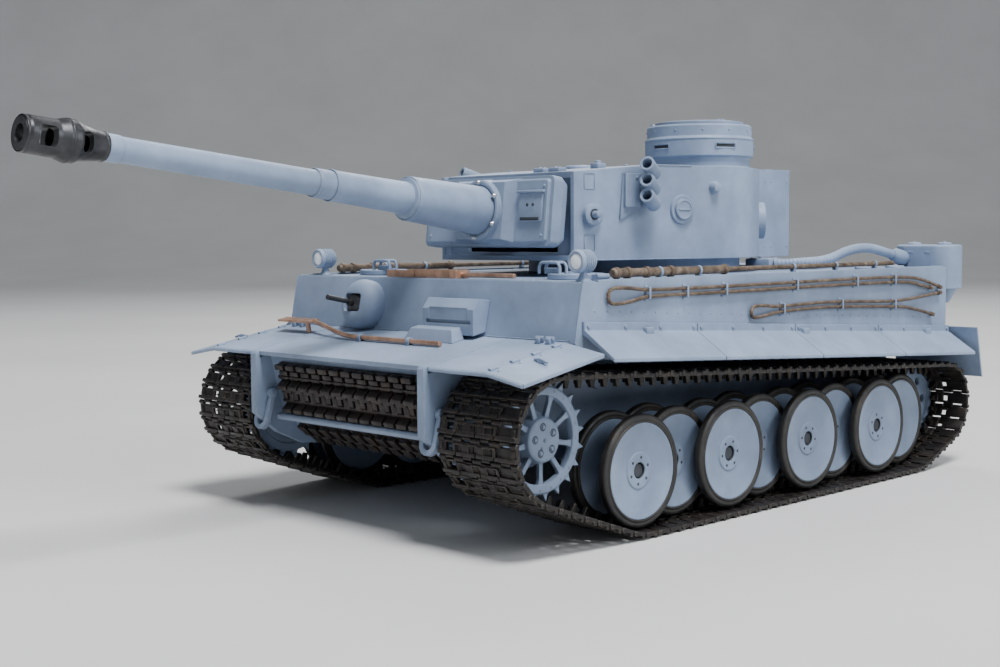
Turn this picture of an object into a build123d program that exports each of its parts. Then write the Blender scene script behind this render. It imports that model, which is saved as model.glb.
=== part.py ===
"""Radio-controlled model of a heavy battle tank, 1:16, made as separate pieces.

Millimetres, +Z up.  The front of the tank faces -Y and its left side faces +X.
The origin is on the ground, in the middle of the outline seen from above.
Lengths along the hull are measured back from the front road wheels' axle.
"""
from build123d import *
from math import acos, asin, atan2, cos, degrees, hypot, pi, radians, sin
import os

os.makedirs("parts", exist_ok=True)

# ---------------------------------------------------------------- driving dimensions
FRONT_AXLE_Y = -38.17         # the front road axle in the model's frame
GROUND_TO_AXLE = 28.5         # height of all road axles
AXLE_STEP = 32.2
AXLES = 8

TYRE_R = 24.5
DISC_R = 21.4
AXLE_PIN_R = 1.5
RUNNING_FIT = 0.05            # radial clearance of a pin that turns in a hole

PITCH = 8.125                 # track link pitch
LINKS = 96                    # links in each track
HALF_LINK = 1.75              # half the thickness of a link
TRACK_IN, TRACK_OUT = 65.6, 110.9

SPROCKET_BACK = -54.8         # behind the front road axle
SPROCKET_Z = 47.1
SPROCKET_TEETH = 20
SPROCKET_RIM_R = 22.3
SPROCKET_TIP_R = 25.8
IDLER_Z = 35.0
IDLER_R = 18.75
IDLER_PATH_R = 21.2
WHEEL_PATH_R = GROUND_TO_AXLE - HALF_LINK

OUTER_ROW = (101.1, 105.7)    # road wheel discs, distance from the centre plane
SECOND_ROW = (94.0, 98.6)
THIRD_ROW = (84.2, 88.8)
INNER_ROW = (78.0, 82.4)

HULL_HALF = 61.0              # outside of the lower hull's side plates
HULL_WALL = 4.0
HULL_BOTTOM = 29.4
DECK_Z = 109.5
UPPER_HALF = 98.1             # outside of the upper hull's sides
UPPER_FLOOR_Z = 77.0
REAR_BACK = 275.0             # rear face of the hull
SHELL = 2.5

TURRET_BACK = 119.0           # turret centre
TURRET_R = 66.0
TURRET_BOTTOM, TURRET_ROOF = 117.0, 162.5
TURRET_FRONT_BACK = 22.5      # front edges of the turret's side walls
TURRET_FRONT_HALF = 45.5
RING_HOLE_R = 50.0

TRUNNION_BACK, TRUNNION_Z = 39.1, 137.0
TRUNNION_R = 2.5
GUN_ELEVATION = 6.6           # the gun is built raised by this many degrees

SKIRT_SLOPE = -0.0545         # the side skirts fall towards the rear


def back(distance):
    """Y of a point this far behind the front road axle."""
    return FRONT_AXLE_Y + distance


def outline(*points):
    """A closed straight-sided face in the sketch in hand."""
    Polygon(*points, align=None)


def slab(x_from, x_to, *points, mode=Mode.ADD):
    """A plate across the tank from x_from to x_to, its side view given as (Y, Z) points."""
    with BuildSketch(Plane.YZ.offset(x_from)) as side_view:
        outline(*points)
    extrude(side_view.sketch, amount=x_to - x_from, dir=(1, 0, 0), mode=mode)


def block(x_span, y_span, z_span, mode=Mode.ADD, corner=0):
    """A box between the given limits, with rounded upright corners if asked."""
    with BuildSketch(Plane.XY.offset(z_span[0])) as plan:
        with Locations(((x_span[0] + x_span[1]) / 2, (y_span[0] + y_span[1]) / 2)):
            if corner:
                RectangleRounded(x_span[1] - x_span[0], y_span[1] - y_span[0], corner)
            else:
                Rectangle(x_span[1] - x_span[0], y_span[1] - y_span[0])
    extrude(plan.sketch, amount=z_span[1] - z_span[0], dir=(0, 0, 1), mode=mode)


def bar(start, direction, radius, length, mode=Mode.ADD):
    """A round bar from start along direction."""
    with BuildSketch(Plane(origin=start, z_dir=direction)) as section:
        Circle(radius)
    extrude(section.sketch, amount=length, mode=mode)


def both(x):
    """The same distance on the right and on the left of the centre plane."""
    return (-x, x)


def save(piece, name):
    piece.label = name
    export_step(piece, f"parts/{name}.step")


def save_group(pieces, name):
    save(Compound(label=name, children=pieces), name)


# ---------------------------------------------------------------- track path
def track_segments(idler_back):
    """Straights and arcs of the track's pitch line, in (Y, Z), clockwise from the sprocket's top."""
    circles = [
        (back(SPROCKET_BACK), SPROCKET_Z, PITCH / (2 * sin(pi / SPROCKET_TEETH))),
        (back(idler_back), IDLER_Z, IDLER_PATH_R),
        (back(AXLE_STEP * (AXLES - 1)), GROUND_TO_AXLE, WHEEL_PATH_R),
        (back(0), GROUND_TO_AXLE, WHEEL_PATH_R),
    ]
    runs = []
    for here, there in zip(circles, circles[1:] + circles[:1]):
        gap = hypot(there[0] - here[0], there[1] - here[1])
        heading = atan2(there[1] - here[1], there[0] - here[0]) - asin((here[2] - there[2]) / gap)
        start = (here[0] - here[2] * sin(heading), here[1] + here[2] * cos(heading))
        runs.append((start, heading, (gap ** 2 - (here[2] - there[2]) ** 2) ** 0.5))
    segments = []
    for number, (start, heading, length) in enumerate(runs):
        circle = circles[(number + 1) % 4]
        turn = (heading - runs[(number + 1) % 4][1]) % (2 * pi)
        segments.append(("straight", start, heading, length))
        segments.append(("arc", circle, heading, circle[2] * turn))
    return segments


def track_length(idler_back):
    return sum(segment[3] for segment in track_segments(idler_back))


def tightened_idler():
    """Where the idler stands when the track of LINKS links is tight."""
    near, far = 240.0, 280.0
    for _ in range(50):
        middle = (near + far) / 2
        if track_length(middle) < LINKS * PITCH:
            near = middle
        else:
            far = middle
    return near


def track_point(segments, travel):
    """(Y, Z) at this distance along the pitch line."""
    travel = travel % (LINKS * PITCH)
    for kind, place, heading, length in segments:
        if travel <= length:
            break
        travel -= length
    if kind == "straight":
        return place[0] + travel * cos(heading), place[1] + travel * sin(heading)
    turned = heading - travel / place[2]
    return place[0] - place[2] * sin(turned), place[1] + place[2] * cos(turned)


IDLER_BACK = tightened_idler()
TRACK_PATH = track_segments(IDLER_BACK)
print("idler behind the front axle", round(IDLER_BACK, 3))


# ---------------------------------------------------------------- track links
TOOTH_GROOVES = ((70.1, 73.9), (95.6, 99.4))
GUIDE_HORNS = ((74.7, 76.9), (90.3, 92.5))
HINGE_R = 0.9


def track_link():
    """One link, lying on its pitch line with its ground side up (+Z)."""
    half = PITCH / 2 - 0.45
    with BuildPart() as link:
        slab(TRACK_IN, TRACK_OUT, (-half, -HALF_LINK), (half, -HALF_LINK), (half, 1.0), (-half, 1.0))
        bar((TRACK_IN, PITCH / 2, 0), (1, 0, 0), HINGE_R, TRACK_OUT - TRACK_IN)
        bar((TRACK_IN - 1, -PITCH / 2, 0), (1, 0, 0), HINGE_R + 0.07, TRACK_OUT - TRACK_IN + 2,
            mode=Mode.SUBTRACT)
        for low, high in TOOTH_GROOVES:
            slab(low, high, (-PITCH, -3), (PITCH, -3), (PITCH, 0.4), (-PITCH, 0.4), mode=Mode.SUBTRACT)
        for low, high in GUIDE_HORNS:
            slab(low, high, (-2.0, -HALF_LINK), (2.0, -HALF_LINK), (0.8, -6.4), (-0.8, -6.4))
        for ridge in (-1.9, 1.3):
            slab(TRACK_IN + 1, TRACK_OUT - 1, (ridge - 0.6, 0.9), (ridge + 0.6, 0.9),
                 (ridge + 0.6, HALF_LINK), (ridge - 0.6, HALF_LINK))
    return link.part


left_link = track_link()
right_link = mirror(left_link, about=Plane.YZ)
for side_name, link in (("left", left_link), ("right", right_link)):
    links = []
    for number in range(LINKS):
        y_a, z_a = track_point(TRACK_PATH, number * PITCH)
        y_b, z_b = track_point(TRACK_PATH, (number + 1) * PITCH)
        tilt = degrees(atan2(z_b - z_a, y_b - y_a))
        links.append(link.moved(Location((0, (y_a + y_b) / 2, (z_a + z_b) / 2), (tilt, 0, 0))))
    save_group(links, f"track_{side_name}")


# ---------------------------------------------------------------- road wheels
def wheel_plane(side, y, z):
    """Local x points outwards from the tank, local y points up."""
    return Plane(origin=(0, y, z), x_dir=(side, 0, 0), z_dir=(0, -side, 0))


def tyre(side, y, z, row):
    axis = Axis((0, y, z), (1, 0, 0))
    with BuildPart() as ring:
        with BuildSketch(wheel_plane(side, y, z)) as section:
            with Locations(((row[0] + row[1]) / 2, (DISC_R + TYRE_R) / 2)):
                Rectangle(row[1] - row[0], TYRE_R - DISC_R)
            fillet(section.vertices().sort_by(Axis.Z)[-2:], radius=0.9)
        revolve(axis=axis)
    return ring.part


def turned_about_axle(side, y, z, *points):
    """A solid turned about the wheel's axis, its half section given as (outwards, radius) points."""
    with BuildPart() as turned_piece:
        with BuildSketch(wheel_plane(side, y, z)):
            outline(*points)
        revolve(axis=Axis((0, y, z), (1, 0, 0)))
    return turned_piece.part


def wheel_pair(side, y, z, outer, inner):
    """Two dished discs on a hub tube; the outer one has a recess for the axle pin's head."""
    face, bore, hub_r = outer[1], AXLE_PIN_R + RUNNING_FIT, 5.2
    outer_disc = turned_about_axle(
        side, y, z, (face - 4.4, 3.6), (face - 2.0, 3.6), (face - 2.0, 8.0), (face - 2.8, 8.3),
        (face - 0.8, 19.8), (face - 0.2, 20.2), (face - 0.2, DISC_R), (outer[0] + 0.2, DISC_R),
        (outer[0] + 0.2, 20.0), (outer[0] - 0.6, 8.0), (outer[0] - 0.6, hub_r), (face - 4.4, hub_r))
    inner_disc = turned_about_axle(
        side, y, z, (inner[1] - 1.4, hub_r), (inner[1] - 1.4, 19.6), (inner[1], 19.8), (inner[1], DISC_R),
        (inner[0], DISC_R), (inner[0], 19.8), (inner[0] + 1.4, 19.6), (inner[0] + 1.4, hub_r))
    hub_tube = turned_about_axle(side, y, z, (inner[0] - 1.0, bore), (face - 4.4, bore), (face - 4.4, hub_r),
                                 (inner[0] - 1.0, hub_r))
    return [outer_disc, inner_disc, hub_tube]


for side_name, side in (("left", 1), ("right", -1)):
    for axle in range(AXLES):
        y = back(AXLE_STEP * axle)
        rows = (OUTER_ROW, THIRD_ROW) if axle % 2 == 0 else (SECOND_ROW, INNER_ROW)
        tyres = [tyre(side, y, GROUND_TO_AXLE, row) for row in rows]
        save_group(wheel_pair(side, y, GROUND_TO_AXLE, *rows) + tyres, f"road_wheels_{side_name}_{axle + 1}")


# ---------------------------------------------------------------- sprockets and idlers
SPROCKET_OUTER = (96.2, 98.8)
SPROCKET_INNER = (70.7, 73.3)
SHAFT_R = 3.0
SPOKES = 9
TOOTH_STEP = 360 / SPROCKET_TEETH


def link_angle_at_sprocket():
    """Angle, seen from the left, of a link that lies on the sprocket's front."""
    steps = int((LINKS * PITCH - 3.5 * PITCH) / PITCH)
    y_a, z_a = track_point(TRACK_PATH, steps * PITCH)
    y_b, z_b = track_point(TRACK_PATH, (steps + 1) * PITCH)
    return degrees(atan2((z_a + z_b) / 2 - SPROCKET_Z, (y_a + y_b) / 2 - back(SPROCKET_BACK)))


def sprocket(side):
    y, z = back(SPROCKET_BACK), SPROCKET_Z
    first_tooth = link_angle_at_sprocket()
    with BuildPart() as wheel:
        for low, high in (SPROCKET_OUTER, SPROCKET_INNER):
            start = min(low * side, high * side)
            with BuildSketch(Plane(origin=(start, y, z), x_dir=(0, 1, 0), z_dir=(1, 0, 0))):
                Circle(SPROCKET_RIM_R)
                Circle(18.2, mode=Mode.SUBTRACT)
                Circle(9.4)
                with PolarLocations(13.5, SPOKES, start_angle=first_tooth):
                    Rectangle(10.5, 1.7)
                with PolarLocations(0, SPROCKET_TEETH, start_angle=first_tooth):
                    outline((SPROCKET_RIM_R - 0.6, -2.0), (SPROCKET_TIP_R, -0.35),
                            (SPROCKET_TIP_R, 0.35), (SPROCKET_RIM_R - 0.6, 2.0))
            extrude(amount=high - low)
        with BuildSketch(wheel_plane(side, y, z)):
            outline((46.0, 0), (46.0, 2.0), (57.1, 2.0), (57.1, SHAFT_R), (70.7, SHAFT_R), (70.7, 6.0),
                    (73.3, 8.0), (73.3, 12.0), (91.0, 12.0), (96.2, 9.4), (98.8, 9.4), (99.6, 9.0),
                    (100.3, 7.4), (100.3, 0))
        revolve(axis=Axis((0, y, z), (1, 0, 0)))
    return wheel.part


for side_name, side in (("left", 1), ("right", -1)):
    save(sprocket(side), f"sprocket_{side_name}")
    y = back(IDLER_BACK)
    bore = AXLE_PIN_R + RUNNING_FIT
    with BuildPart() as idler:
        with BuildSketch(wheel_plane(side, y, IDLER_Z)):
            outline((66.6, bore), (85.4, bore), (85.4, 3.6), (88.2, 3.6), (88.2, 7.4), (87.2, 7.8),
                    (87.2, 15.4), (88.8, 15.8), (88.8, IDLER_R), (84.2, IDLER_R), (84.2, 15.8),
                    (85.2, 15.4), (85.2, 7.0), (72.5, 7.0), (71.5, 15.4), (72.5, 15.8),
                    (72.5, IDLER_R), (67.9, IDLER_R), (67.9, 15.8), (68.9, 15.4), (68.9, 6.0),
                    (66.6, 6.0))
        revolve(axis=Axis((0, y, IDLER_Z), (1, 0, 0)))
        for low, high in (THIRD_ROW, (67.9, 72.5)):
            start = min(low * side, high * side)
            with BuildSketch(Plane(origin=(start, y, IDLER_Z), x_dir=(0, 1, 0), z_dir=(1, 0, 0))):
                with PolarLocations(11.6, 6):
                    Circle(2.3)
            extrude(amount=high - low, mode=Mode.SUBTRACT)
    save(idler.part, f"idler_{side_name}")


# ---------------------------------------------------------------- suspension
def arm(side, pivot, hub, pin_end):
    """A swing arm beside the hull, and the headed axle pin in it that carries a wheel."""
    gap = hypot(hub[0] - pivot[0], hub[1] - pivot[1])
    lean = degrees(atan2(hub[1] - pivot[1], hub[0] - pivot[0]))
    start = min(61.1 * side, 65.2 * side)
    middle = ((pivot[0] + hub[0]) / 2, (pivot[1] + hub[1]) / 2)
    with BuildPart() as swing:
        with BuildSketch(Plane(origin=(start, 0, 0), x_dir=(0, 1, 0), z_dir=(1, 0, 0))):
            with Locations(Location((middle[0], middle[1]), lean)):
                Rectangle(gap, 5.0)
            with Locations(pivot, hub):
                Circle(3.6)
        extrude(amount=4.1)
    with BuildPart() as axle_pin:
        bar((65.2 * side, *hub), (side, 0, 0), AXLE_PIN_R, pin_end - 65.2)
        bar((pin_end * side, *hub), (side, 0, 0), 2.8, 1.5)
    return [swing.part, axle_pin.part]


arms = []
for side in (-1, 1):
    for axle in range(AXLES):
        hub = (back(AXLE_STEP * axle), GROUND_TO_AXLE)
        row = OUTER_ROW if axle % 2 == 0 else SECOND_ROW
        arms += arm(side, (hub[0] + 15.0, 38.5), hub, row[1] - 4.3)
    idler_hub = (back(IDLER_BACK), IDLER_Z)
    arms += arm(side, (idler_hub[0] - 3.0, 44.0), idler_hub, 85.5)
save_group(arms, "suspension_arms")


# ---------------------------------------------------------------- lower hull
NOSE = [(back(-76.0), 74.3), (back(-69.5), 47.0), (back(-52.0), 32.2), (back(-45.0), HULL_BOTTOM)]
SHACKLE_PIN = (back(-76.7), 56.4)
SHACKLE_PIN_R = 1.5
SWITCH_BACK = 96.0            # front end of the power switch's slot

with BuildPart() as lower_hull:
    for side in (-1, 1):
        start = min(side * HULL_HALF, side * (HULL_HALF - HULL_WALL))
        slab(start, start + HULL_WALL,
             (back(REAR_BACK), UPPER_FLOOR_Z), (back(-34.5), UPPER_FLOOR_Z), (back(-34.5), 82.2),
             (back(-82.1), 73.3), (back(-82.1), 76.2), (back(-83.6), 76.2), (back(-84.5), 75.2),
             (back(-84.5), 47.5), (back(-79.5), 43.2), (back(-72.0), 37.2), (back(-58.0), 30.6),
             (back(-45.0), HULL_BOTTOM), (back(262.0), HULL_BOTTOM), (back(REAR_BACK), 45.0))
        bar((side * 50, *SHACKLE_PIN), (side, 0, 0), SHACKLE_PIN_R + RUNNING_FIT, 20, mode=Mode.SUBTRACT)
        bar((side * 50, back(SPROCKET_BACK), SPROCKET_Z), (side, 0, 0), SHAFT_R + RUNNING_FIT, 20,
            mode=Mode.SUBTRACT)
    inner = HULL_HALF - HULL_WALL
    block(both(inner), (back(-45.0), back(262.0)), (HULL_BOTTOM, HULL_BOTTOM + SHELL))
    slab(-inner, inner, *NOSE, (back(-45.0), HULL_BOTTOM + SHELL), (back(-50.3), 34.0),
         (back(-67.4), 48.2), (back(-74.0), 74.3))
    slab(-inner, inner, (back(262.0), HULL_BOTTOM), (back(REAR_BACK), 45.0),
         (back(REAR_BACK), UPPER_FLOOR_Z), (back(REAR_BACK - SHELL), UPPER_FLOOR_Z),
         (back(REAR_BACK - SHELL), 46.0), (back(261.0), HULL_BOTTOM + SHELL))
    block((-3.2, 3.2), (back(SWITCH_BACK), back(SWITCH_BACK + 10.0)),
          (HULL_BOTTOM - 1, HULL_BOTTOM + SHELL + 1), mode=Mode.SUBTRACT)
    for side in (-1, 1):
        block(sorted((side * 4.8, side * 6.4)), (back(SWITCH_BACK - 3), back(SWITCH_BACK + 13)),
              (HULL_BOTTOM + SHELL - 0.2, 38.2))
        block(sorted((side * 3.4, side * 6.4)), (back(SWITCH_BACK - 3), back(SWITCH_BACK + 13)), (36.8, 38.2))
save(lower_hull.part, "lower_hull")


# ---------------------------------------------------------------- upper hull
PLATE_FOOT = (back(-34.5), 84.2)
PLATE_TOP = (back(-29.4), DECK_Z)
GLACIS_SLOPE = 0.188
HATCH_R = 13.0
HATCH_X, HATCH_Y = 66.0, back(2.0)


def glacis_height(distance_back):
    """Top of the sloping front plate at this distance behind the front road axle."""
    return 76.2 + (distance_back + 82.0) * GLACIS_SLOPE


with BuildPart() as upper_hull:
    for side in (-1, 1):
        wall = min(side * UPPER_HALF, side * (UPPER_HALF - SHELL))
        slab(wall, wall + SHELL, (back(-33.6), UPPER_FLOOR_Z), PLATE_FOOT, PLATE_TOP,
             (back(REAR_BACK), DECK_Z), (back(REAR_BACK), 70.5))
        floor_side = sorted((side * (HULL_HALF - HULL_WALL), side * (UPPER_HALF - SHELL)))
        block(floor_side, (back(-33.6), back(REAR_BACK)), (UPPER_FLOOR_Z, UPPER_FLOOR_Z + 2.0))
        slab(floor_side[0], floor_side[1], (back(-34.3), UPPER_FLOOR_Z), (back(-31.0), UPPER_FLOOR_Z),
             (back(-31.0), 84.2), PLATE_FOOT)
    inner = UPPER_HALF - SHELL
    slab(-inner, inner, PLATE_FOOT, PLATE_TOP, (back(-26.0), DECK_Z), (back(-31.0), 84.2))
    block(both(inner), (back(-29.0), back(REAR_BACK)), (DECK_Z - SHELL, DECK_Z))
    block(both(inner), (back(REAR_BACK - SHELL), back(REAR_BACK)), (UPPER_FLOOR_Z, DECK_Z))
    bar((0, back(TURRET_BACK), DECK_Z - 6), (0, 0, 1), RING_HOLE_R + 3.0, 4.0)
    bar((0, back(TURRET_BACK), DECK_Z - 7), (0, 0, 1), RING_HOLE_R, 9.0, mode=Mode.SUBTRACT)
    for side in (-1, 1):
        bar((side * HATCH_X, HATCH_Y, DECK_Z - 4), (0, 0, 1), HATCH_R - 1.5, 6.0, mode=Mode.SUBTRACT)
    for side in (-1, 1):
        rail = sorted((side * 94.6, side * UPPER_HALF))
        block(rail, (back(-20.0), back(271.0)), (DECK_Z - 0.2, DECK_Z + 0.8))
    block(both(26.0), (back(206.0), back(262.0)), (DECK_Z - 0.2, DECK_Z + 1.6), corner=2)
    for side in (-1, 1):
        grille = sorted((side * 34.0, side * 60.0))
        block(grille, (back(194.0), back(266.0)), (DECK_Z - 0.2, DECK_Z + 1.2), corner=1.5)
save(upper_hull.part, "upper_hull")

GLACIS = [(back(-82.0), 76.2), (back(-34.6), glacis_height(-34.6)), (back(-34.6), glacis_height(-34.6) - 1.9),
          (back(-82.0), 74.3)]
with BuildPart() as glacis_plate:
    slab(-HULL_HALF, HULL_HALF, *GLACIS)

FLAP_X, FLAP_EDGE_X, FLAP_DROP = 95.0, 115.6, 3.4


def fender(side):
    """Front mudguard: a flat inner panel and an outer flap that falls outwards."""
    pieces = []
    with BuildPart() as panel:
        start = min(side * (HULL_HALF + 0.1), side * FLAP_X)
        slab(start, start + FLAP_X - HULL_HALF - 0.1, *GLACIS)
    pieces.append(panel.part)
    with BuildPart() as flap:
        for distance in (-82.0, -36.0):
            top = glacis_height(distance)
            with BuildSketch(Plane(origin=(0, back(distance), 0), x_dir=(1, 0, 0), z_dir=(0, -1, 0))):
                outline((side * (FLAP_X + 0.1), top), (side * FLAP_EDGE_X, top - FLAP_DROP),
                        (side * FLAP_EDGE_X, top - FLAP_DROP - 1.5), (side * (FLAP_X + 0.1), top - 1.5))
        loft()
    pieces.append(flap.part)
    return pieces


save_group([glacis_plate.part] + fender(-1) + fender(1), "glacis_and_mudguards")

# ---------------------------------------------------------------- side skirts
SKIRT_SEAMS = (-30.0, 45.7, 123.4, 200.8, 277.0)
FLANGE_TOP_FRONT = 93.4


def skirt_panel(side, start, end):
    top = FLANGE_TOP_FRONT + (start - SKIRT_SEAMS[0]) * SKIRT_SLOPE
    length = end - start - 0.5
    with BuildPart() as panel:
        with BuildSketch(Plane(origin=(0, back(start), 0), x_dir=(side, 0, 0), z_dir=(0, -side, 0))):
            outline((UPPER_HALF + 0.05, top), (UPPER_HALF + 1.3, top), (UPPER_HALF + 1.3, top - 3.4),
                    (115.6, top - 14.2), (115.6, top - 15.7), (UPPER_HALF + 0.05, top - 5.2))
        extrude(amount=length, dir=(0, 1, SKIRT_SLOPE))
        for step in range(4):
            place = start + 2.5 + step * (length - 5.0) / 3
            height = FLANGE_TOP_FRONT + (place - SKIRT_SEAMS[0]) * SKIRT_SLOPE - 1.8
            bar((side * (UPPER_HALF + 1.0), back(place), height), (side, 0, 0), 0.9, 0.9)
    return panel.part


skirts = []
for side in (-1, 1):
    for start, end in zip(SKIRT_SEAMS, SKIRT_SEAMS[1:]):
        skirts.append(skirt_panel(side, start, end))

for side in (-1, 1):
    with BuildPart() as rear_mudflap:
        start = min(side * 63.0, side * 115.6)
        slab(start, start + 52.6, (back(277.6), 76.0), (back(284.2), 48.0), (back(285.4), 48.0),
             (back(278.8), 76.0))
        tab = min(side * 66.0, side * 95.0)
        slab(tab, tab + 29.0, (back(REAR_BACK + 0.1), 72.0), (back(279.2), 72.0), (back(278.8), 76.0),
             (back(REAR_BACK + 0.1), 76.0))
    skirts.append(rear_mudflap.part)
save_group(skirts, "side_skirts")


# ---------------------------------------------------------------- nose and front plate fittings
def shackle(side):
    """A bow shackle with its pin through the tow plate, hanging a little forwards."""
    reach, leg_r, half_width = 16.4, 1.2, 3.9
    middle = side * (HULL_HALF - HULL_WALL / 2)
    lean = radians(14.0)
    down = Vector(0, -sin(lean), -cos(lean))
    pin = Vector(middle, *SHACKLE_PIN)
    with BuildPart() as bow:
        with BuildSketch(Plane(origin=pin, x_dir=(1, 0, 0), z_dir=down.cross(Vector(1, 0, 0)))):
            with BuildLine():
                Line((-half_width, 0), (-half_width, -(reach - half_width)))
                ThreePointArc((-half_width, -(reach - half_width)), (0, -reach),
                              (half_width, -(reach - half_width)))
                Line((half_width, -(reach - half_width)), (half_width, 0))
                offset(amount=leg_r)
            make_face()
        extrude(amount=leg_r, both=True)
        bar((middle - 5.6, *SHACKLE_PIN), (1, 0, 0), SHACKLE_PIN_R, 11.2)
        for end in (-1, 1):
            bar((middle + end * 2.6, *SHACKLE_PIN), (end, 0, 0), 2.3, 2.6)
    return bow.part


save(shackle(1), "shackle_left")
save(shackle(-1), "shackle_right")

SPARE_HALF = 49.0
SPARE_BLOCKS = 12
UPPER_NOSE = atan2(NOSE[0][1] - NOSE[1][1], NOSE[0][0] - NOSE[1][0])
LOWER_NOSE = atan2(NOSE[1][1] - NOSE[2][1], NOSE[1][0] - NOSE[2][0])


def spare_row(foot, slope, height, depth):
    """A row of spare links against the nose: a backing plate with a tooth on each link."""
    up = (cos(slope), sin(slope))
    out = (-sin(slope), cos(slope))

    def at(along, away):
        return (foot[0] + along * up[0] + away * out[0], foot[1] + along * up[1] + away * out[1])

    with BuildPart() as row:
        slab(-SPARE_HALF, SPARE_HALF, at(0, 0.15), at(height, 0.15), at(height, 2.2), at(0, 2.2))
        for number in range(SPARE_BLOCKS):
            left = -SPARE_HALF + 1.2 + number * 2 * SPARE_HALF / SPARE_BLOCKS
            slab(left, left + 5.6, at(0.6, 2.0), at(height - 0.6, 2.0), at(height - 1.6, depth),
                 at(height * 0.45, depth))
    return row.part


def nose_point(line, along):
    """A point on the nose's upper (0) or lower (1) plate, this far up along it from its foot."""
    (top_y, top_z), (foot_y, foot_z) = NOSE[line], NOSE[line + 1]
    share = along / hypot(top_y - foot_y, top_z - foot_z)
    return foot_y + (top_y - foot_y) * share, foot_z + (top_z - foot_z) * share


with BuildPart() as spare_bar:
    foot = nose_point(0, 1.0)
    slab(-54.0, 54.0, (foot[0] - 0.2, foot[1] - 0.2), (foot[0] - 5.0, foot[1] - 1.2),
         (foot[0] - 6.2, foot[1] - 2.6), (foot[0] - 6.0, foot[1] - 4.4), (foot[0] - 0.6, foot[1] - 1.6))
save_group([spare_row(nose_point(0, 17.6), UPPER_NOSE, 7.6, 5.4),
            spare_row(nose_point(0, 9.4), UPPER_NOSE, 7.6, 6.4),
            spare_row(nose_point(0, 1.6), UPPER_NOSE, 7.2, 6.2),
            spare_row(nose_point(1, 3.4), LOWER_NOSE, 14.0, 5.4), spare_bar.part], "spare_tracks")

PLATE_RUN, PLATE_RISE = PLATE_TOP[0] - PLATE_FOOT[0], PLATE_TOP[1] - PLATE_FOOT[1]
PLATE_NORMAL = Vector(0, -PLATE_RISE, PLATE_RUN).normalized()


def plate_point(x, z, out=0.0):
    """A point on the sloping front plate at this X and Z, moved outwards."""
    y = PLATE_FOOT[0] + (z - PLATE_FOOT[1]) * PLATE_RUN / PLATE_RISE
    return Vector(x, y, z) + PLATE_NORMAL * out


with BuildPart() as driver_visor:
    slab(12.0, 45.0, (back(-34.1), 87.0), (back(-41.6), 85.6), (back(-41.6), 97.0), (back(-38.0), 101.6),
         (back(-31.3), 101.0))
    slab(16.0, 41.0, (back(-43.0), 93.2), (back(-43.0), 96.4), (back(-41.0), 97.6), (back(-41.0), 92.4),
         mode=Mode.SUBTRACT)
    slab(14.0, 43.0, (back(-42.6), 90.6), (back(-42.6), 92.2), (back(-40.0), 92.2), (back(-40.0), 90.6),
         mode=Mode.SUBTRACT)
with BuildPart() as visor_guard:
    with BuildSketch(Plane(origin=(23.0, back(-43.0), glacis_height(-43.0) - 1.4), x_dir=(1, 0, 0),
                           z_dir=(0, -GLACIS_SLOPE, 1))):
        Rectangle(34.0, 13.0)
    with BuildSketch(Plane(origin=(23.0, back(-42.6), glacis_height(-43.0) + 5.4), x_dir=(1, 0, 0),
                           z_dir=(0, -GLACIS_SLOPE, 1))):
        Rectangle(27.0, 8.0)
    loft()
    slab(0, 60, *GLACIS, mode=Mode.SUBTRACT)
    slab(0, 60, (back(-41.7), 70), (back(-30), 70), (back(-30), 120), (back(-41.7), 120), mode=Mode.SUBTRACT)
save_group([driver_visor.part, visor_guard.part.solids().sort_by(SortBy.VOLUME)[-1]], "driver_visor")

BALL_X, BALL_Z, BALL_R = -38.0, 96.0, 6.6
BALL_CENTRE = plate_point(BALL_X, BALL_Z, 4.2)
with BuildPart() as bow_gun_mount:
    with BuildSketch(Plane(origin=plate_point(BALL_X, BALL_Z), x_dir=(1, 0, 0), z_dir=PLATE_NORMAL)):
        Circle(12.0)
    extrude(amount=10.2)
    fillet(bow_gun_mount.faces().sort_by(Axis.Y)[0].edges(), radius=6.4)
    with Locations(Location(BALL_CENTRE)):
        Sphere(BALL_R + 0.35, mode=Mode.SUBTRACT)
    with BuildSketch(Plane(origin=BALL_CENTRE, x_dir=(1, 0, 0), z_dir=PLATE_NORMAL)):
        RectangleRounded(11.5, 8.6, 1.6)
    extrude(amount=12, mode=Mode.SUBTRACT)
    slab(-60, -20, (back(-30), 80), PLATE_FOOT, PLATE_TOP, (back(-20), 112), mode=Mode.SUBTRACT)
    slab(-60, -20, (back(-82.0), 76.3), (back(-34.0), 85.4), (back(-34.0), 70), (back(-82.0), 70),
         mode=Mode.SUBTRACT)
save(bow_gun_mount.part.solids().sort_by(SortBy.VOLUME)[-1], "bow_gun_mount")

with BuildPart() as bow_gun:
    with Locations(Location(BALL_CENTRE)):
        Sphere(BALL_R)
    bar(plate_point(BALL_X, BALL_Z, -8.0), PLATE_NORMAL, 12, 9.6, mode=Mode.SUBTRACT)
    bar(BALL_CENTRE + PLATE_NORMAL * 5.6, PLATE_NORMAL, 2.0, 2.6)
    bar(BALL_CENTRE + PLATE_NORMAL * 6.0, PLATE_NORMAL, 1.25, 15.0)
save(bow_gun.part.solids().sort_by(SortBy.VOLUME)[-1], "bow_gun")

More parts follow.
